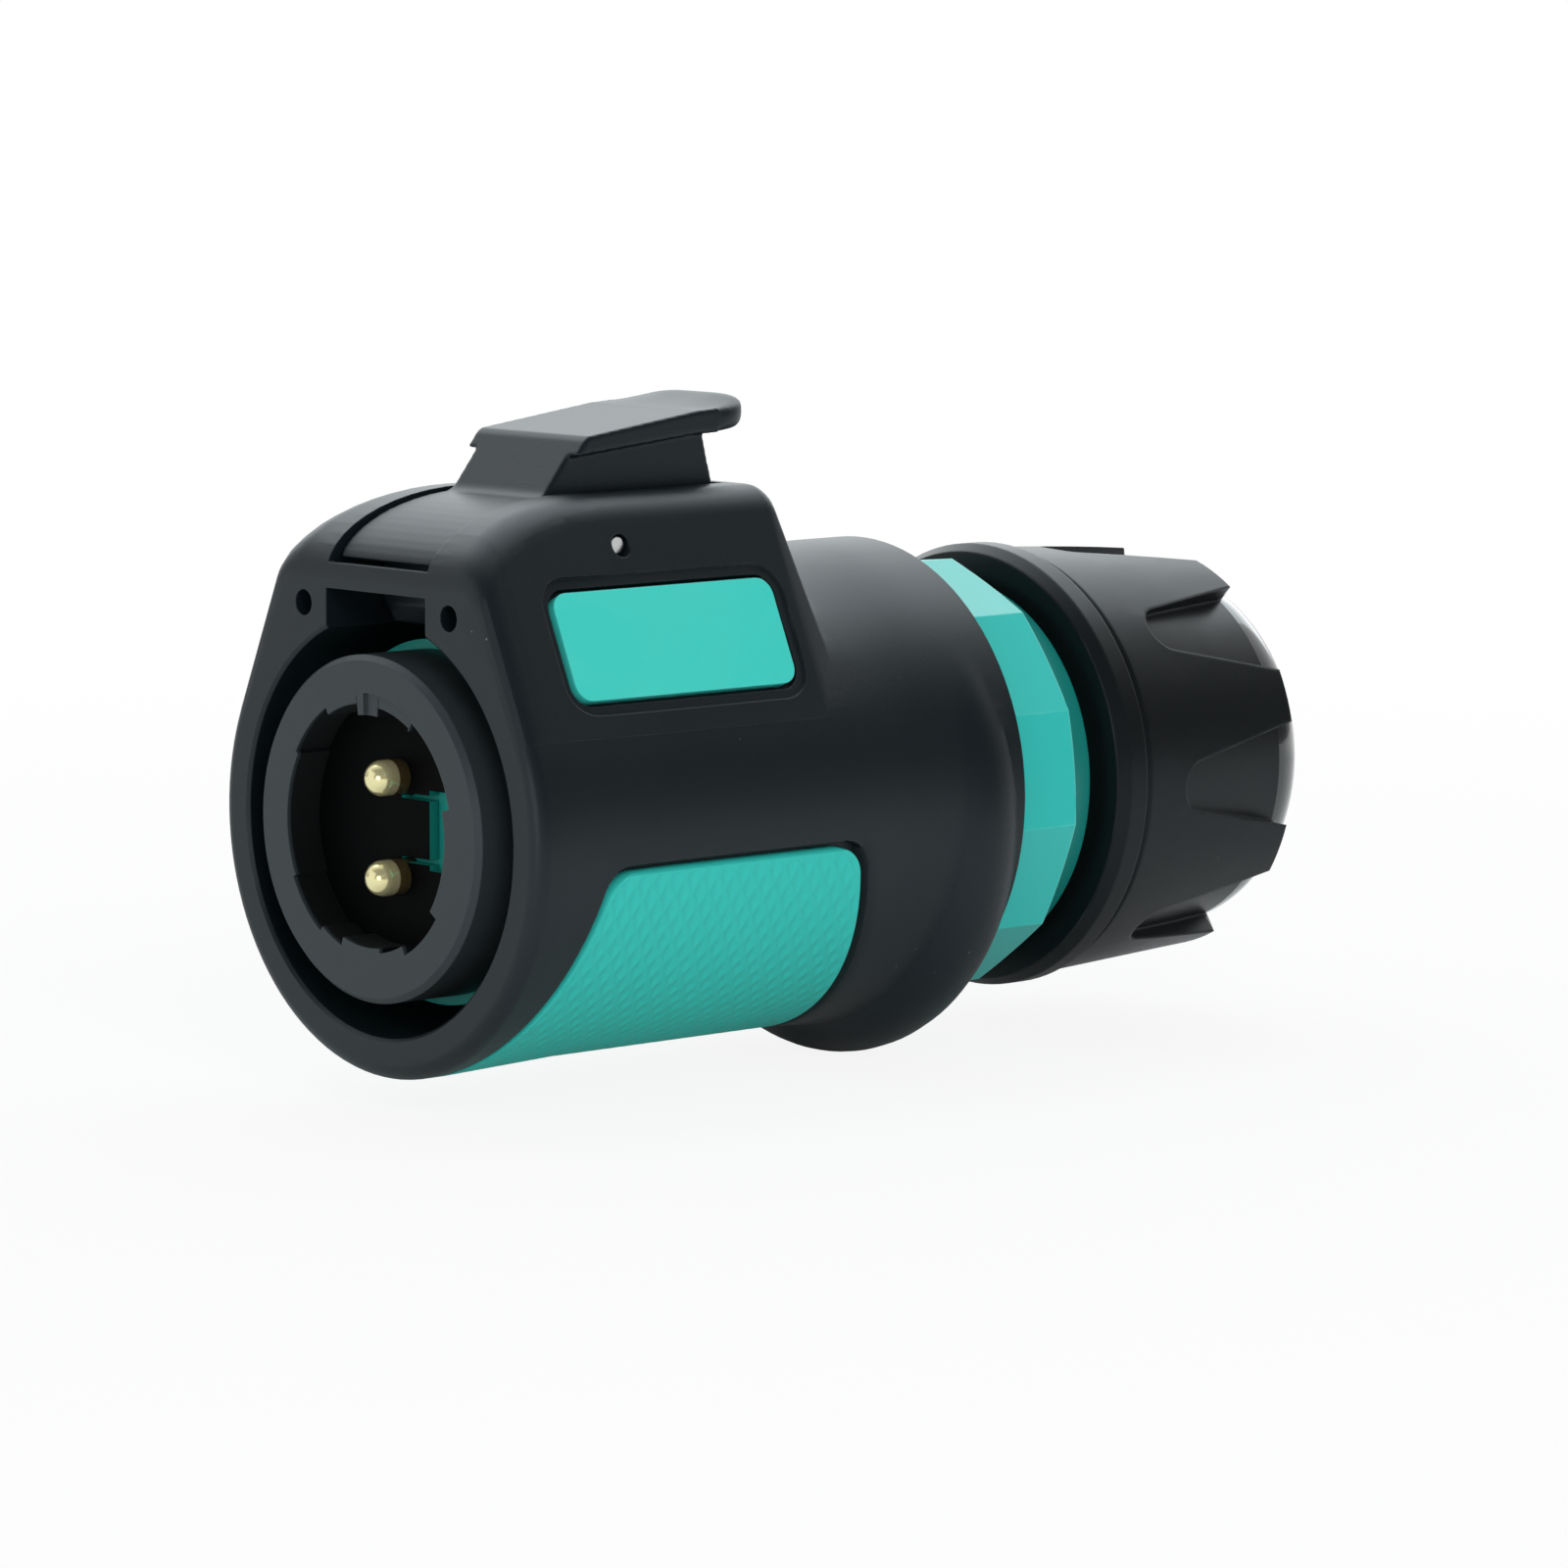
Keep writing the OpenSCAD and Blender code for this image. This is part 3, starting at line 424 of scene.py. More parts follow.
    def _specks(self, graph: Graph, size: Socket) -> Socket:
        """Sparse tiny specks of dust.

        Args:
            graph: the group's graph.
            size: the distance between places that may hold a speck.

        Returns:
            The mask.
        """
        place = self._place(graph, size)
        cells = graph.add("ShaderNodeTexVoronoi", {"Vector": place, "Scale": 1.0}, feature="F1")
        speck = graph.spread(cells.outputs["Distance"], self.SPECK_SPAN)
        return graph.product(speck, graph.spread(self.SPECK_PICK.put(graph, place), self.PICK_SPAN))

    def _flow(self, graph: Graph, size: Socket) -> Socket:
        """Pale flow marks in coloured plastic, a few sizes long."""
        return graph.spread(self.FLOW_LINES.put(graph, self._place(graph, size)), self.FLOW_SPAN)

    def _behind(self, graph: Graph, size: Socket) -> Socket:
        """The zone behind a station along the plug, which the size gives."""
        station = graph.parts(self._place(graph, 1.0))[1]
        return graph.spread(graph.math("SUBTRACT", station, size), self.STATION_SPAN)

    def _bore(self, graph: Graph, size: Socket) -> Socket:
        """The walls of a bore on the plug axis behind its rim, which finishes paint with shade and make
        rougher.

        Args:
            graph: the group's graph.
            size: the bore's radius.

        Returns:
            The mask.
        """
        x, y, z = graph.parts(self._place(graph, 1.0))
        past_wall = graph.math("SUBTRACT", graph.axis_distance(x, z), size)
        return graph.product(graph.spread(past_wall, self.WALL_SPAN), graph.spread(y, self.BORE_START))

    def put(self, graph: Graph, effect: Effect, size: float, amount: float) -> Socket:
        """Places an effect in a material.

        Args:
            graph: the material's graph.
            effect: which effect.
            size: its length in millimetres.
            amount: its strength.

        Returns:
            The effect's mask.
        """
        given = {"Size": size, "Amount": amount}
        return graph.add("ShaderNodeGroup", given, node_tree=self.groups[effect]).outputs["Mask"]


@dataclass(frozen=True)
class Finish:
    """One finish: a base with moulded grain, handling marks, edge wear that at high amounts paints edge
    highlights, flow marks, dust, a colour behind a station that on some parts is painted shade, and painted
    shade in bores.

    Lengths are in millimetres and colours are linear.
    """

    FLOW_SIZE = 5.0
    WEAR_AND_HIGHLIGHT_SIZE = 1.2
    SPECK_SIZE = 1.6
    BORE_ROUGHNESS = 0.35
    EDGE_SAMPLES = 4
    HANDLED_LIGHTER = 1.25
    HANDLED_GAIN = 2.0

    name: str
    colour: Colour
    roughness: float
    metallic: float = 0.0
    specular: float = 0.5
    coat_roughness: float = 0.2
    edge: float = 0.12
    grain_size: float = 0.12
    grain_depth: float = 0.006
    handling: float = 0.12
    handling_size: float = 9.0
    # Edge lightening: rubbed wear, and at high amounts a painted highlight along the edges.
    wear_and_highlight: float = 0.25
    wear_and_highlight_colour: Colour = (0.2, 0.21, 0.22)
    flow: float = 0.0
    flow_colour: Colour = WHITE
    specks: float = 0.3
    speck_colour: Colour = (0.4, 0.4, 0.4)
    tint: Colour = WHITE
    polish: float = 0.0
    polish_from: float = 0.0
    # A colour behind a station: painted shade on the collar flange and the contact shafts, the carrier's teal
    # on the insulator, and a lighter grey on the nut's dome.
    deep_from: float = 0.0
    rear_tone_and_painted_light: Colour = WHITE
    # A bore's radius: its walls get a painted shade colour and more roughness.
    bore: float = 0.0
    bore_painted_shade: Colour = (0.0010, 0.0013, 0.0014)
    soften: float = 0.0
    soften_zone: Span = (0.0, 0.0)

    def material(self, effects: Effects) -> bpy.types.Material:
        """Builds the material.

        Args:
            effects: the shared shader groups.

        Returns:
            The finished material.
        """
        made = bpy.data.materials.new(self.name)
        graph = empty_graph(made)
        marks = effects.put(graph, Effect.HANDLING, self.handling_size, self.handling)
        rough = graph.math("ADD", marks, self.roughness, clamp=True)
        coat: object = 0.0
        if self.polish > 0:
            coat = effects.put(graph, Effect.BEHIND, self.polish_from, 1.0)
            rough = graph.math("SUBTRACT", rough, graph.product(coat, self.polish))
        if self.bore > 0:
            deep = effects.put(graph, Effect.BORE, self.bore, self.BORE_ROUGHNESS)
            rough = graph.math("ADD", rough, deep)
        shader = graph.add("ShaderNodeBsdfPrincipled", {
            "Base Color": self._colour(graph, effects, marks),
            "Metallic": self.metallic,
            "Roughness": rough,
            "Normal": self._normal(graph, effects),
            "Specular IOR Level": self.specular,
            "Specular Tint": self.tint,
            "Coat Weight": coat,
            "Coat Roughness": self.coat_roughness,
        })
        graph.add("ShaderNodeOutputMaterial", {"Surface": shader.outputs["BSDF"]})
        return made

    def _colour(self, graph: Graph, effects: Effects, marks: Socket) -> Socket:
        """The base colour with what lies over it.

        Args:
            graph: the material's graph.
            effects: the shared shader groups.
            marks: the handling marks already in the material.

        Returns:
            The colour.
        """
        lighter = tuple(min(1.0, part * self.HANDLED_LIGHTER) for part in self.colour)
        shade = graph.math("ADD", graph.product(marks, self.HANDLED_GAIN), 0.5, clamp=True)
        colour = graph.blend(shade, self.colour, lighter)
        # Layers: flow marks, edge wear with painted edge highlights, dust, the colour behind a station
        # (painted shade on some parts), and painted shade in bores.
        for effect, size, amount, over in (
            (Effect.FLOW, self.FLOW_SIZE, self.flow, self.flow_colour),
            (Effect.WEAR_AND_HIGHLIGHT, self.WEAR_AND_HIGHLIGHT_SIZE, self.wear_and_highlight, self.wear_and_highlight_colour),
            (Effect.SPECKS, self.SPECK_SIZE, self.specks, self.speck_colour),
            (Effect.BEHIND, self.deep_from, float(self.deep_from > 0), self.rear_tone_and_painted_light),
            (Effect.BORE, self.bore, float(self.bore > 0), self.bore_painted_shade),
        ):
            if amount > 0:
                colour = graph.blend(effects.put(graph, effect, size, amount), colour, over)
        return colour

    def _normal(self, graph: Graph, effects: Effects) -> Socket:
        """The normal with the moulded grain, and with edges rounded in the shading.

        Args:
            graph: the material's graph.
            effects: the shared shader groups.

        Returns:
            The normal.
        """
        grain = effects.put(graph, Effect.GRAIN, self.grain_size, 1.0)
        given = {"Strength": 1.0, "Distance": self.grain_depth * MM, "Height": grain}
        bump = graph.add("ShaderNodeBump", given)
        if self.edge > 0:
            radius: object = self.edge * MM
            if self.soften > 0:
                front, rear = (
                    effects.put(graph, Effect.BEHIND, end, self.soften * MM) for end in self.soften_zone)
                radius = graph.math("ADD", graph.math("SUBTRACT", front, rear), radius)
            rounded = graph.add("ShaderNodeBevel", {"Radius": radius}, samples=self.EDGE_SAMPLES)
            graph.feed(bump.inputs["Normal"], rounded.outputs["Normal"])
        return bump.outputs["Normal"]


COOL: Colour = (0.84, 0.95, 1.0)
HOUSING_BLACK = Finish(
    "housing_black", (0.0038, 0.0064, 0.0088), 0.42, wear_and_highlight=0.1, handling=0.03, tint=COOL,
    soften=1.5, soften_zone=(26.9, 38.4))
LATCH_BLACK = Finish(
    "latch_black", (0.0038, 0.0064, 0.0088), 0.42, edge=0.0, wear_and_highlight=0.0, handling=0.03, tint=COOL)
# The barrel's bore walls take a painted shade colour.
BARREL_BLACK = Finish(
    "barrel_black", (0.0200, 0.0260, 0.0290), 0.42, wear_and_highlight=0.1, handling=0.03, specks=0.0, tint=COOL, bore=8.3)
INSULATOR_BLACK = Finish(
    "insulator_black", (0.0012, 0.0015, 0.0017), 0.6, specular=0.05, handling=0.02, wear_and_highlight=0.0, specks=0.0,
    deep_from=2.56, rear_tone_and_painted_light=(0.012, 0.250, 0.215))
RING_BLACK = Finish("ring_black", (0.010, 0.011, 0.012), 0.5, handling=0.02, wear_and_highlight=0.0, specks=0.0)
# Nut: the strong edge lightening paints thin highlights along the scallop edges on top of rubbed wear; behind
# station 66.45 the dome is a lighter grey.
NUT_BLACK = Finish(
    "nut_black", (0.0045, 0.0055, 0.0065), 0.36, specular=0.28, edge=0.28, wear_and_highlight=0.5,
    wear_and_highlight_colour=(0.10, 0.11, 0.115), handling=0.03, tint=COOL, coat_roughness=0.08,
    polish=0.26, polish_from=66.45, deep_from=66.45, rear_tone_and_painted_light=(0.018, 0.020, 0.022))
WASHER_BLACK = Finish("washer_black", (0.0080, 0.0090, 0.0100), 0.3, handling=0.02, wear_and_highlight=0.0, specks=0.0)
PLATE_TEAL = Finish(
    "plate_teal", (0.042, 0.560, 0.490), 0.36, grain_depth=0.002, handling=0.03, wear_and_highlight=0.1,
    wear_and_highlight_colour=(0.25, 0.75, 0.70), flow=0.04, flow_colour=(0.50, 0.88, 0.84), specks=0.0)
GRIP_TEAL = Finish(
    "grip_teal", (0.030, 0.490, 0.430), 0.55, specular=0.3, grain_size=0.09, grain_depth=0.004,
    handling=0.03, wear_and_highlight=0.1, wear_and_highlight_colour=(0.12, 0.60, 0.53), specks=0.0, edge=0.0)
# Collar: the strong edge lightening paints highlights along the facet edges, and the darker teal behind
# station 46.4 paints the nut lip's shadow on the flange.
COLLAR_TEAL = Finish(
    "collar_teal", (0.020, 0.470, 0.425), 0.3, grain_depth=0.002, handling=0.03, wear_and_highlight=5.0,
    wear_and_highlight_colour=(0.20, 0.72, 0.67), specks=0.0, deep_from=46.4, rear_tone_and_painted_light=(0.008, 0.220, 0.195))
CORE_TEAL = Finish(
    "core_teal", (0.008, 0.240, 0.205), 0.4, specular=0.3, grain_depth=0.002, handling=0.03, wear_and_highlight=0.0,
    specks=0.0)
CARRIER_TEAL = Finish(
    "carrier_teal", (0.012, 0.250, 0.215), 0.5, specular=0.2, grain_depth=0.002, handling=0.03, wear_and_highlight=0.0,
    specks=0.0)
# Contacts: the dark brass behind station 1.7 paints the shade on the pin shafts inside the bore; only the
# tips keep the gold.
CONTACT_GOLD = Finish(
    "contact_gold", (1.00, 0.84, 0.45), 0.2, metallic=0.75, grain_depth=0.001, handling=0.03, wear_and_highlight=0.0,
    specks=0.0, edge=0.05, deep_from=1.7, rear_tone_and_painted_light=(0.16, 0.12, 0.05))
TURNED_STEEL = Finish(
    "turned_steel", (0.80, 0.80, 0.79), 0.25, metallic=1.0, grain_depth=0.001, handling=0.05, wear_and_highlight=0.0,
    specks=0.0, edge=0.05)
SPRING_STEEL = Finish(
    "spring_steel", (0.5, 0.5, 0.5), 0.26, metallic=1.0, grain_depth=0.001, handling=0.05, wear_and_highlight=0.0,
    specks=0.0, edge=0.0)
SEAL_RUBBER = Finish("seal_rubber", (0.010, 0.010, 0.011), 0.6, specular=0.3, wear_and_highlight=0.0, specks=0.0)
CAGE_WHITE = Finish("cage_white", (0.72, 0.73, 0.71), 0.4, handling=0.04, wear_and_highlight=0.0, specks=0.0)
GROMMET_GREY = Finish(
    "grommet_grey", (0.36, 0.38, 0.38), 0.58, grain_depth=0.008, wear_and_highlight=0.1, wear_and_highlight_colour=(0.5, 0.5, 0.5))


class Palette:
    """Every finish as a material, built when it is first asked for."""

    def __init__(self) -> None:
        """Builds the shared effects."""
        self.effects = Effects()
        self._made: Dict[str, bpy.types.Material] = {}

    def get(self, finish: Finish) -> bpy.types.Material:
        """Finds or builds a material.

        Args:
            finish: the finish that it shows.

        Returns:
            The material.
        """
        if finish.name not in self._made:
            self._made[finish.name] = finish.material(self.effects)
        return self._made[finish.name]


def dress(obj: bpy.types.Object, material: bpy.types.Material) -> None:
    """Gives an object one material."""
    obj.data.materials.clear()
    obj.data.materials.append(material)


def make_piece(
    name: str, points: Sequence[Point], faces: Sequence[Sequence[int]], material: bpy.types.Material,
    body: Body
) -> bpy.types.Object:
    """Makes a mesh piece that rides on a body.

    Args:
        name: the piece's name.
        points: vertices in metres, in the row frame.
        faces: the faces as vertex numbers.
        material: its material.
        body: the body that it rides on.

    Returns:
        The new object.
    """
    mesh = bpy.data.meshes.new(name)
    mesh.from_pydata(list(points), [], [list(face) for face in faces])
    work = bmesh.new()
    work.from_mesh(mesh)
    bmesh.ops.recalc_face_normals(work, faces=work.faces)
    work.to_mesh(mesh)
    work.free()
    obj = bpy.data.objects.new(name, mesh)
    bpy.context.scene.collection.objects.link(obj)
    mesh.shade_smooth()
    mesh.set_sharp_from_angle(angle=math.radians(SMOOTH_BELOW_DEG))
    dress(obj, material)
    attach(obj, body.value)
    return obj


@dataclass
class GripPad:
    """The soft pad that wraps round the underside, with its fine diamond grain.

    Lengths are in millimetres.
    """

    radius: float = 15.05
    bead_radius: float = 15.35
    taper: Span = (11.6, 3.1)
    thickness: float = 0.9
    top: float = 1.9
    front: float = 7.0
    rear: float = 26.7
    rake_front: float = 4.1
    rake_rear: float = 3.0
    corner: float = 1.6
    rim_round: float = 0.18
    pitch_along: float = 0.66
    pitch_round: float = 1.0
    grain: float = 0.07
    grain_border: Span = (0.25, 0.45)
    rows: int = 300
    columns: int = 190

    def skin(self, y: float) -> float:
        """Radius of the pad's outside at a station: the front bead, its taper and the grip length."""
        return self.radius + (self.bead_radius - self.radius) * share_of(y, self.taper)

    def edge(self, z: float, rear: bool) -> float:
        """Station of the front or rear edge at a height.

        Args:
            z: height, from -top down to -radius.
            rear: the rear edge instead of the front one.

        Returns:
            The station along the plug.
        """
        down = -z - self.top
        share = down / (self.radius - self.top)
        inset = rounded_inset(self.corner, down)
        if rear:
            return self.rear + self.rake_rear * share - inset
        return self.front - self.rake_front * share + inset

    def depth(self, arc: float, y: float, border: float) -> float:
        """How far the surface stands below its full radius.

        Args:
            arc: length round the plug.
            y: station along the plug.
            border: distance from the nearest edge.

        Returns:
            Depth below the full radius.
        """
        u = arc / self.pitch_round + y / self.pitch_along
        v = arc / self.pitch_round - y / self.pitch_along
        ridge = max(abs(math.cos(math.pi * u / 2)), abs(math.cos(math.pi * v / 2)))
        texture = self.grain * (1 - ridge**3) * share_of(border, self.grain_border)
        return texture + rounded_inset(self.rim_round, border)

    def _points(self) -> List[Point]:
        """Lays the points of the outer and then the inner skin.

        Returns:
            The points in metres, in rows along the plug from one side's edge round to the other's.
        """
        start = math.asin(self.top / self.radius)
        points: List[Point] = []
        for inner in (False, True):
            for i in range(self.rows + 1):
                angle = start + (math.pi - 2 * start) * (i / self.rows)
                low, high = (
                    self.edge(min(-r * math.sin(angle), -self.top), rear)
                    for r, rear in ((self.skin(self.front), False), (self.radius, True)))
                arc = self.radius * (angle - math.pi / 2)
                side = self.radius * min(angle - start, math.pi - start - angle)
                for j in range(self.columns + 1):
                    y = low + (high - low) * j / self.columns
                    border = max(0.0, min(y - low, high - y, side))
                    r = self.skin(y) - (self.thickness if inner else self.depth(arc, y, border))
                    points.append((r * math.cos(angle) * MM, y * MM, -r * math.sin(angle) * MM))
        return points

    def _faces(self) -> List[Tuple[int, ...]]:
        """Joins the points of both skins, and the skins at their rim.

        Returns:
            The faces as point numbers.
        """
        across = self.columns + 1
        inner = (self.rows + 1) * across
        faces: List[Tuple[int, ...]] = []
        for i in range(self.rows):
            for a in range(i * across, i * across + self.columns):
                faces.append((a, a + 1, a + across + 1, a + across))
                faces.append((inner + a, inner + a + across, inner + a + across + 1, inner + a + 1))
        rim = [*range(self.columns),
               *range(self.columns, inner, across),
               *range(inner - 2, inner - across - 1, -1),
               *range(inner - 2 * across, 0, -across)]
        for a, b in zip(rim, rim[1:] + rim[:1]):
            faces.append((a, b, inner + b, inner + a))
        return faces

    def build(self, palette: Palette) -> bpy.types.Object:
        """Makes the pad and lets it stand for the CAD pad.

        Args:
            palette: the materials.

        Returns:
            The pad.
        """
        pad = make_piece(
            "grip_pad_knurled", self._points(), self._faces(), palette.get(GRIP_TEAL), Body.PLUG)
        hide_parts("grip_pad")
        return pad


@dataclass
class LatchSpring:
    """The wound spring under the thumb tab. Lengths are in millimetres."""

    wire: float = 0.25
    mean: float = 1.7
    turns: float = 4.5
    foot: Point = (0.0, 18.6, 14.5)
    top: float = 18.4
    rise: Span = (0.15, 0.85)
    keep: float = 0.74
    steps: int = 26
    sides: int = 10

    def _points(self, total: int) -> List[Point]:
        """The points of the wire, ring by ring.

        Args:
            total: number of steps along the wire.

        Returns:
            The points in metres.
        """
        low, high = self.foot[2] + self.wire, self.top - self.wire
        points: List[Point] = []
        for i in range(total + 1):
            angle = 2 * math.pi * i / self.steps
            out = Vector((math.cos(angle), math.sin(angle), 0))
            centre = Vector((self.foot[0], self.foot[1], low + (high - low) * share_of(i / total, self.rise)))
            for k in range(self.sides):
                turn = 2 * math.pi * k / self.sides
                up = Vector((0, 0, self.wire * math.sin(turn)))
                points.append(tuple((centre + out * (self.mean + self.wire * math.cos(turn)) + up) * MM))
        return points

    def build(self, palette: Palette) -> bpy.types.Object:
        """Makes the spring as a wound wire and lets it stand for the CAD spring.

        Args:
            palette: the materials.

        Returns:
            The spring.
        """
        total, sides = int(self.turns * self.steps), self.sides
        faces = [tuple(range(sides)), tuple(total * sides + k for k in range(sides))]
        for ring in range(0, total * sides, sides):
            for k in range(sides):
                a, b = ring + k, ring + (k + 1) % sides
                faces.append((a, b, b + sides, a + sides))
        spring = make_piece(
            "latch_spring_wound", self._points(total), faces, palette.get(SPRING_STEEL), Body.PLUG)
        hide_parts("latch_spring")
        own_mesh(spring)
        return spring


@dataclass
class FootFade:
    """A modifier that lets the foot of the latch tower run out on the round body toward the sides.

    Lengths are in millimetres; each span gives where the modifier begins and where it works in full.
    """

    body_radius: float = 15.06
    across: Span = (8.9, 9.9)
    front: Span = (26.9, 27.0)
    rear: Span = (28.67, 28.63)
    high: Span = (9.0, 9.2)

    def put(self, obj: bpy.types.Object) -> None:
        """Adds the modifier.

        Args:
            obj: the housing.
        """
        group = GeometryGroup("faded_foot")
        graph = group.graph
        x, y, z = graph.parts(graph.add("GeometryNodeInputPosition").outputs[0])
        radius = graph.axis_distance(x, z)
        excess = graph.math("MAXIMUM", graph.math("SUBTRACT", radius, self.body_radius * MM), 0.0)
        inward = graph.product(
            excess, graph.zone(graph.math("ABSOLUTE", x), self.across), graph.zone(y, self.front),
            graph.zone(y, self.rear), graph.zone(z, self.high), -1.0)
        share = graph.math("DIVIDE", inward, radius)
        given = {"X": graph.product(x, share), "Z": graph.product(z, share)}
        shift = graph.add("ShaderNodeCombineXYZ", given)
        group.lead(graph.add("GeometryNodeSetPosition", {"Offset": shift.outputs[0]}))
        group.put(obj)


@dataclass
class Housing:
    """The black housing with its name plates and grip pad."""

    pad: GripPad = field(default_factory=GripPad)
    foot: FootFade = field(default_factory=FootFade)

    def build(self, nodes: CadNodes, palette: Palette) -> List[str]:
        """Dresses the housing and adds the knurled pad.

        Args:
            nodes: the CAD nodes.
            palette: the materials.

        Returns:
            The names of the pieces.
        """
        dress(nodes["housing"], palette.get(HOUSING_BLACK))
        self.foot.put(nodes["housing"])
        for side in ("left", "right"):
            dress(nodes["name_plate_" + side], palette.get(PLATE_TEAL))
        dress(nodes["grip_pad"], palette.get(GRIP_TEAL))
        return ["housing", "name_plate_left", "name_plate_right", self.pad.build(palette).name]


@dataclass
class Softener:
    """Modifiers that round the edges of the latch and ease the rim of its thumb tab.

    Lengths are in millimetres; each span gives where an effect begins and where it works in full.
    """

    voxel: float = 0.12
    strength: float = 0.5
    passes: int = 5
    curl: Span = (22.0, 26.6)
    high: Span = (21.0, 21.5)
    sink: float = 0.22
    corners: Span = (1.5, 4.6)
    corner_sink: float = 0.35
    rim: Span = (23.6, 26.0)
    rim_passes: int = 40

    def put(self, obj: bpy.types.Object) -> None:
        """Adds the modifiers.

        Args:
            obj: the latch.
        """
        remesh = obj.modifiers.new("fine_mesh", "REMESH")
        remesh.mode = "VOXEL"
        remesh.voxel_size = self.voxel * MM
        remesh.use_smooth_shade = True
        smooth = obj.modifiers.new("soft_edges", "SMOOTH")
        smooth.factor = self.strength
        smooth.iterations = self.passes
        self._eased_rim().put(obj)

    def _eased_rim(self) -> GeometryGroup:
        """Builds the group that lowers the rear of the thumb tab, most at its corners, and rounds its rim.

        Returns:
            The group.
        """
        group = GeometryGroup("eased_rim")
        graph = group.graph
        place = graph.add("GeometryNodeInputPosition").outputs[0]
        x, y, z = graph.parts(place)
        high = graph.zone(z, self.high)
        side = graph.zone(graph.math("ABSOLUTE", x), self.corners)
        depth = graph.math("ADD", graph.product(side, side, -self.corner_sink * MM), -self.sink * MM)
        drop = graph.add("ShaderNodeCombineXYZ", {"Z": graph.product(graph.zone(y, self.curl), high, depth)})
        lower = graph.add("GeometryNodeSetPosition", {"Offset": drop.outputs[0]})
        near_rim = graph.product(graph.zone(y, self.rim), high)
        given = {"Value": place, "Iterations": self.rim_passes, "Weight": near_rim}
        blur = graph.add("GeometryNodeBlurAttribute", given, data_type="FLOAT_VECTOR")
        group.lead(lower, graph.add("GeometryNodeSetPosition", {"Position": blur.outputs[0]}))
        return group


@dataclass
class Latch:
    """The push latch with its hinge pin and spring."""

    spring: LatchSpring = field(default_factory=LatchSpring)
    softener: Softener = field(default_factory=Softener)

    def build(self, nodes: CadNodes, palette: Palette) -> List[str]:
        """Dresses the lever and its pin and winds the spring.

        Args:
            nodes: the CAD nodes.
            palette: the materials.

        Returns:
            The names of the pieces.
        """
        dress(nodes["latch"], palette.get(LATCH_BLACK))
        self.softener.put(nodes["latch"])
        dress(nodes["latch_pin"], palette.get(TURNED_STEEL))
        dress(nodes["latch_spring"], palette.get(SPRING_STEEL))
        return ["latch", "latch_pin", self.spring.build(palette).name]


@dataclass
class Assembly:
    """A sub-assembly whose CAD solids show as they are, each with its own finish."""

    finishes: Dict[str, Finish]

    def build(self, nodes: CadNodes, palette: Palette) -> List[str]:
        """Dresses each node.

        Args:
            nodes: the CAD nodes.
            palette: the materials.

        Returns:
            The names of the pieces.
        """
        for name, finish in self.finishes.items():
            dress(nodes[name], palette.get(finish))
        return list(self.finishes)


CONTACTS = Assembly({
    "contact_barrel": BARREL_BLACK,
    "face_plate": INSULATOR_BLACK,
    "contact_carrier": CARRIER_TEAL,
    "carrier_lock_ring": RING_BLACK,
    "contact_upper": CONTACT_GOLD,
    "contact_lower": CONTACT_GOLD,
    "terminal_screw_upper": TURNED_STEEL,
    "terminal_screw_lower": TURNED_STEEL,
})
CORE = Assembly({
    "core_body": CORE_TEAL,
    "core_seal": SEAL_RUBBER,
    "lock_collar": COLLAR_TEAL,
    "collar_seal": SEAL_RUBBER,
})
GLAND = Assembly({
    "clamp_cage": CAGE_WHITE,
    "cable_grommet": GROMMET_GREY,
    "slip_washer": WASHER_BLACK,
    "gland_nut": NUT_BLACK,
})


def stand(obj: bpy.types.Object, place: Vector, way: Vector) -> None:
    """Puts a lamp or a camera in the scene.

    Args:
        obj: the lamp or camera.
        place: where it stands, in metres.
        way: the direction that it faces.
    """
    obj.location = place
    obj.rotation_mode = "QUATERNION"
    obj.rotation_quaternion = way.to_track_quat("-Z", "Y")
    bpy.context.scene.collection.objects.link(obj)


@dataclass(frozen=True)
class Softbox:
    """A square studio lamp. Lengths are in metres."""

    name: str
    place: Point
    size: float
    power: float
    colour: Colour = WHITE
    in_gloss: bool = True

    def build(self, aim: Vector) -> None:
        """Hangs the lamp and points it.

        Args:
            aim: the point that it faces.
        """
        lamp = bpy.data.lights.new(self.name, "AREA")
        lamp.shape = "SQUARE"
        lamp.size = self.size
        lamp.energy = self.power
        lamp.color = self.colour
        obj = bpy.data.objects.new(self.name, lamp)
        obj.visible_camera = False
        obj.visible_glossy = self.in_gloss
        stand(obj, Vector(self.place), aim - Vector(self.place))


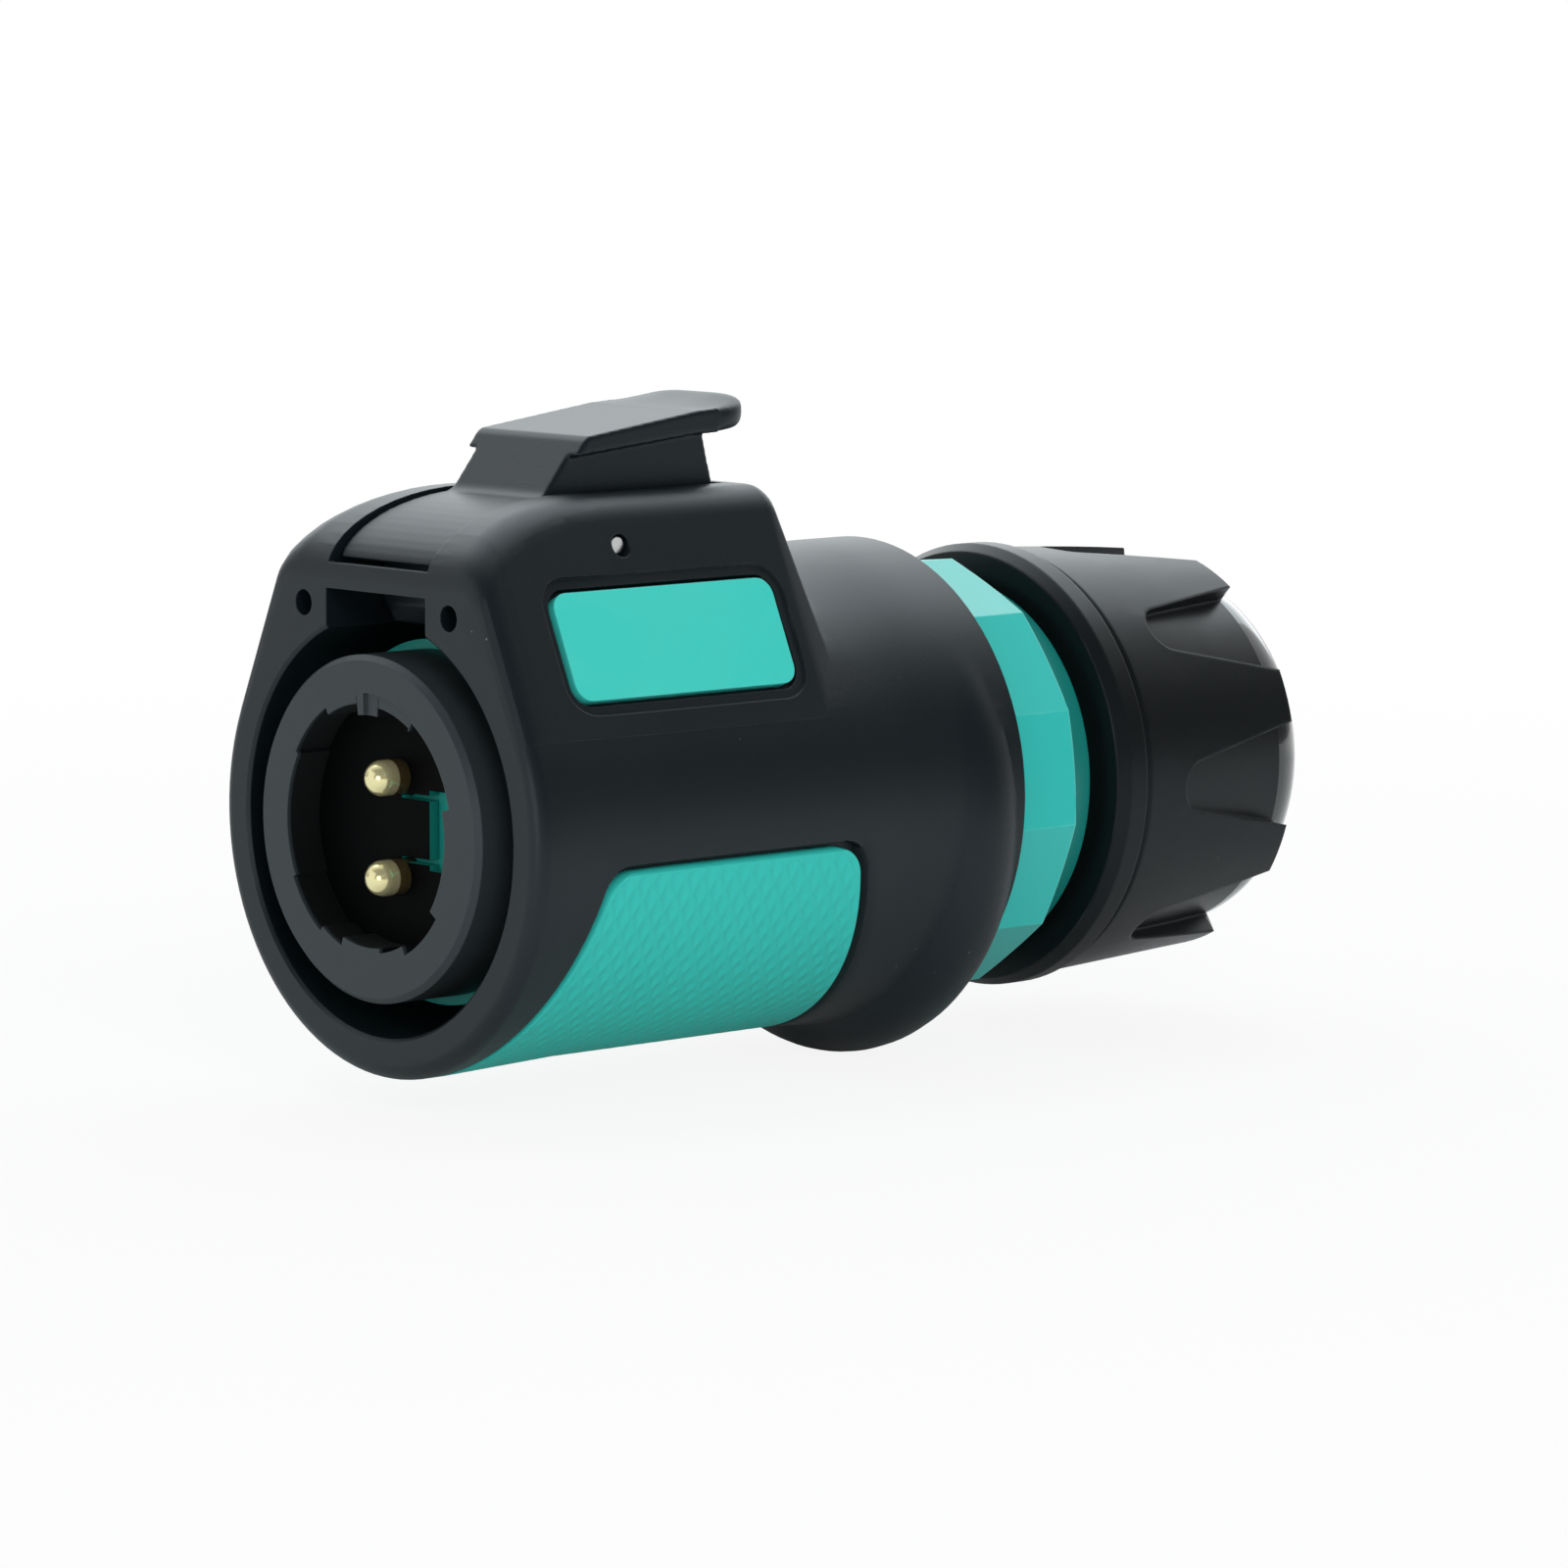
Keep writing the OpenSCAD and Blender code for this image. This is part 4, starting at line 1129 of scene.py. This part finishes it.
@dataclass
class Studio:
    """A pale floor, soft lamps, a white surround and the camera. Lengths are in metres."""

    floor_z: float = -0.01745
    floor_half: float = 3.0
    floor_grey: Colour = (0.8, 0.8, 0.8)
    floor_share: float = 0.88
    fade: Span = (0.06, 0.30)
    diffuse_world: float = 0.40
    dim_side: float = 0.10
    behind: Point = (-0.766, 0.643, 0.0)
    behind_edge: Span = (0.05, 0.22)
    bright_side: Point = (-0.542, 0.455, 0.707)
    bright_edge: Span = (0.35, 0.80)
    azimuth: float = 48.299
    elevation: float = 6.945
    distance: float = 0.4458
    target: Point = (0.0, 0.033698, 0.000059)
    lens: float = 161.19
    sensor: float = 36.0
    clip: Span = (0.01, 50.0)
    lamps: Tuple[Softbox, ...] = (
        Softbox("back_softbox", (-0.41, 0.375, 0.53), 1.1, 5.0, (0.88, 0.97, 1.0)),
        Softbox("left_softbox", (-0.42, -0.74, 0.12), 0.9, 1.7),
        Softbox("front_softbox", (0.38, -0.80, 0.10), 0.35, 1.1),
        Softbox("right_softbox", (0.75, -0.35, 0.35), 0.4, 3.4, in_gloss=False),
    )

    @staticmethod
    def _rays(graph: Graph) -> Tuple[Socket, Socket]:
        """Tells rays apart.

        Args:
            graph: where the masks are added.

        Returns:
            A mask of rays that show the background straight or through glass, and one of rays off gloss.
        """
        path = graph.add("ShaderNodeLightPath").outputs
        seen = graph.math("MAXIMUM", path["Is Camera Ray"], path["Is Transmission Ray"])
        return seen, path["Is Glossy Ray"]

    def _paint(self) -> bpy.types.Material:
        """Builds the floor's material: matt, but shown white, most of all far from the plug.

        Returns:
            The material.
        """
        paint = bpy.data.materials.new("pale_floor")
        graph = empty_graph(paint)
        place = graph.add("ShaderNodeNewGeometry").outputs["Position"]
        away = graph.add("ShaderNodeVectorMath", {0: place}, operation="LENGTH").outputs["Value"]
        far = graph.product(graph.spread(away, self.fade), 1 - self.floor_share)
        seen, glossy = self._rays(graph)
        straight = graph.product(seen, graph.math("ADD", far, self.floor_share))
        behind = graph.spread(graph.dot(place, self.behind), self.behind_edge)
        shown = graph.math("ADD", straight, graph.product(glossy, behind))
        matt = graph.add("ShaderNodeBsdfDiffuse", {"Color": self.floor_grey})
        glow = graph.add("ShaderNodeEmission", {"Color": WHITE})
        mix = graph.add("ShaderNodeMixShader", {0: shown, 1: matt.outputs[0], 2: glow.outputs[0]})
        graph.add("ShaderNodeOutputMaterial", {"Surface": mix.outputs[0]})
        return paint

    def _floor(self) -> None:
        """Lays the pale floor, which keeps the object's shadow."""
        half, z = self.floor_half, self.floor_z
        mesh = bpy.data.meshes.new("floor")
        corners = [(-half, -half, z), (half, -half, z), (half, half, z), (-half, half, z)]
        mesh.from_pydata(corners, [], [(0, 1, 2, 3)])
        floor = bpy.data.objects.new("floor", mesh)
        bpy.context.scene.collection.objects.link(floor)
        dress(floor, self._paint())

    def _world(self) -> None:
        """Makes the surround: white where it is seen, dimmer as a source of light.

        Gloss sees it white behind and above the plug, and dim on the camera's side.
        """
        world = bpy.data.worlds.new("surround")
        graph = empty_graph(world)
        way = graph.add("ShaderNodeTexCoord").outputs["Generated"]
        bright = graph.spread(graph.dot(way, self.bright_side), self.bright_edge)
        gloss = graph.product(bright, 1 - self.dim_side)
        gloss = graph.math("ADD", gloss, self.dim_side - self.diffuse_world)
        seen, glossy = self._rays(graph)
        level = graph.math("ADD", graph.product(seen, 1 - self.diffuse_world), self.diffuse_world)
        strength = graph.math("ADD", level, graph.product(glossy, gloss))
        sky = graph.add("ShaderNodeBackground", {"Color": WHITE, "Strength": strength})
        graph.add("ShaderNodeOutputWorld", {"Surface": sky.outputs[0]})
        bpy.context.scene.world = world

    def _camera(self) -> None:
        """Sets the camera where the photograph was taken from."""
        a, e = math.radians(self.azimuth), math.radians(self.elevation)
        back = Vector((math.sin(a) * math.cos(e), -math.cos(a) * math.cos(e), math.sin(e)))
        data = bpy.data.cameras.new("camera")
        data.lens = self.lens
        data.sensor_width = self.sensor
        data.clip_start, data.clip_end = self.clip
        camera = bpy.data.objects.new("camera", data)
        stand(camera, Vector(self.target) + back * self.distance, -back)
        bpy.context.scene.camera = camera

    def build(self) -> None:
        """Builds floor, surround, lamps and camera."""
        self._floor()
        self._world()
        for lamp in self.lamps:
            lamp.build(Vector(self.target))
        self._camera()
        bpy.context.scene.view_settings.view_transform = "Standard"


@dataclass
class Smoothing:
    """Modifiers that shade faces smooth where they meet at a small angle.

    Edges whose faces meet at a larger angle stay sharp. The weld distance is in millimetres.
    """

    limit_deg: float = 24.0
    weld: float = 0.0005

    def _group(self) -> GeometryGroup:
        """Builds the group that welds a CAD mesh and marks its sharp edges.

        Returns:
            The group.
        """
        group = GeometryGroup("smooth_by_angle")
        graph = group.graph
        clear = graph.add("GeometryNodeRemoveAttribute", {"Name": "custom_normal"})
        weld = graph.add("GeometryNodeMergeByDistance", {"Distance": self.weld * MM})
        faces = graph.add("GeometryNodeSetShadeSmooth", domain="FACE")
        angle = graph.add("GeometryNodeInputMeshEdgeAngle").outputs["Unsigned Angle"]
        given = {"A": angle, "B": math.radians(self.limit_deg)}
        sharp = graph.add("FunctionNodeCompare", given, data_type="FLOAT", operation="GREATER_THAN")
        given = {"Selection": sharp.outputs["Result"], "Shade Smooth": False}
        edges = graph.add("GeometryNodeSetShadeSmooth", given, domain="EDGE")
        group.lead(clear, weld, faces, edges)
        return group

    def put(self, nodes: Iterable[bpy.types.Object]) -> None:
        """Adds the group to each object, with normals that lean toward the larger faces.

        Args:
            nodes: the objects.
        """
        group = self._group()
        for obj in nodes:
            group.put(obj)
            weigh = obj.modifiers.new("weigh_normals", "WEIGHTED_NORMAL")
            weigh.mode = "FACE_AREA"
            weigh.keep_sharp = True


def main() -> None:
    """Builds the sub-assemblies and the studio in order."""
    logging.basicConfig(level=logging.INFO, format="%(message)s")
    nodes = frame["nodes"]
    palette = Palette()
    for part in (Housing(), Latch(), CONTACTS, CORE, GLAND):
        for name in part.build(nodes, palette):
            LOG.info("built %s", name)
    Smoothing().put(node for name, node in nodes.items() if name != "latch")
    Studio().build()


if __name__ == "__main__":
    main()
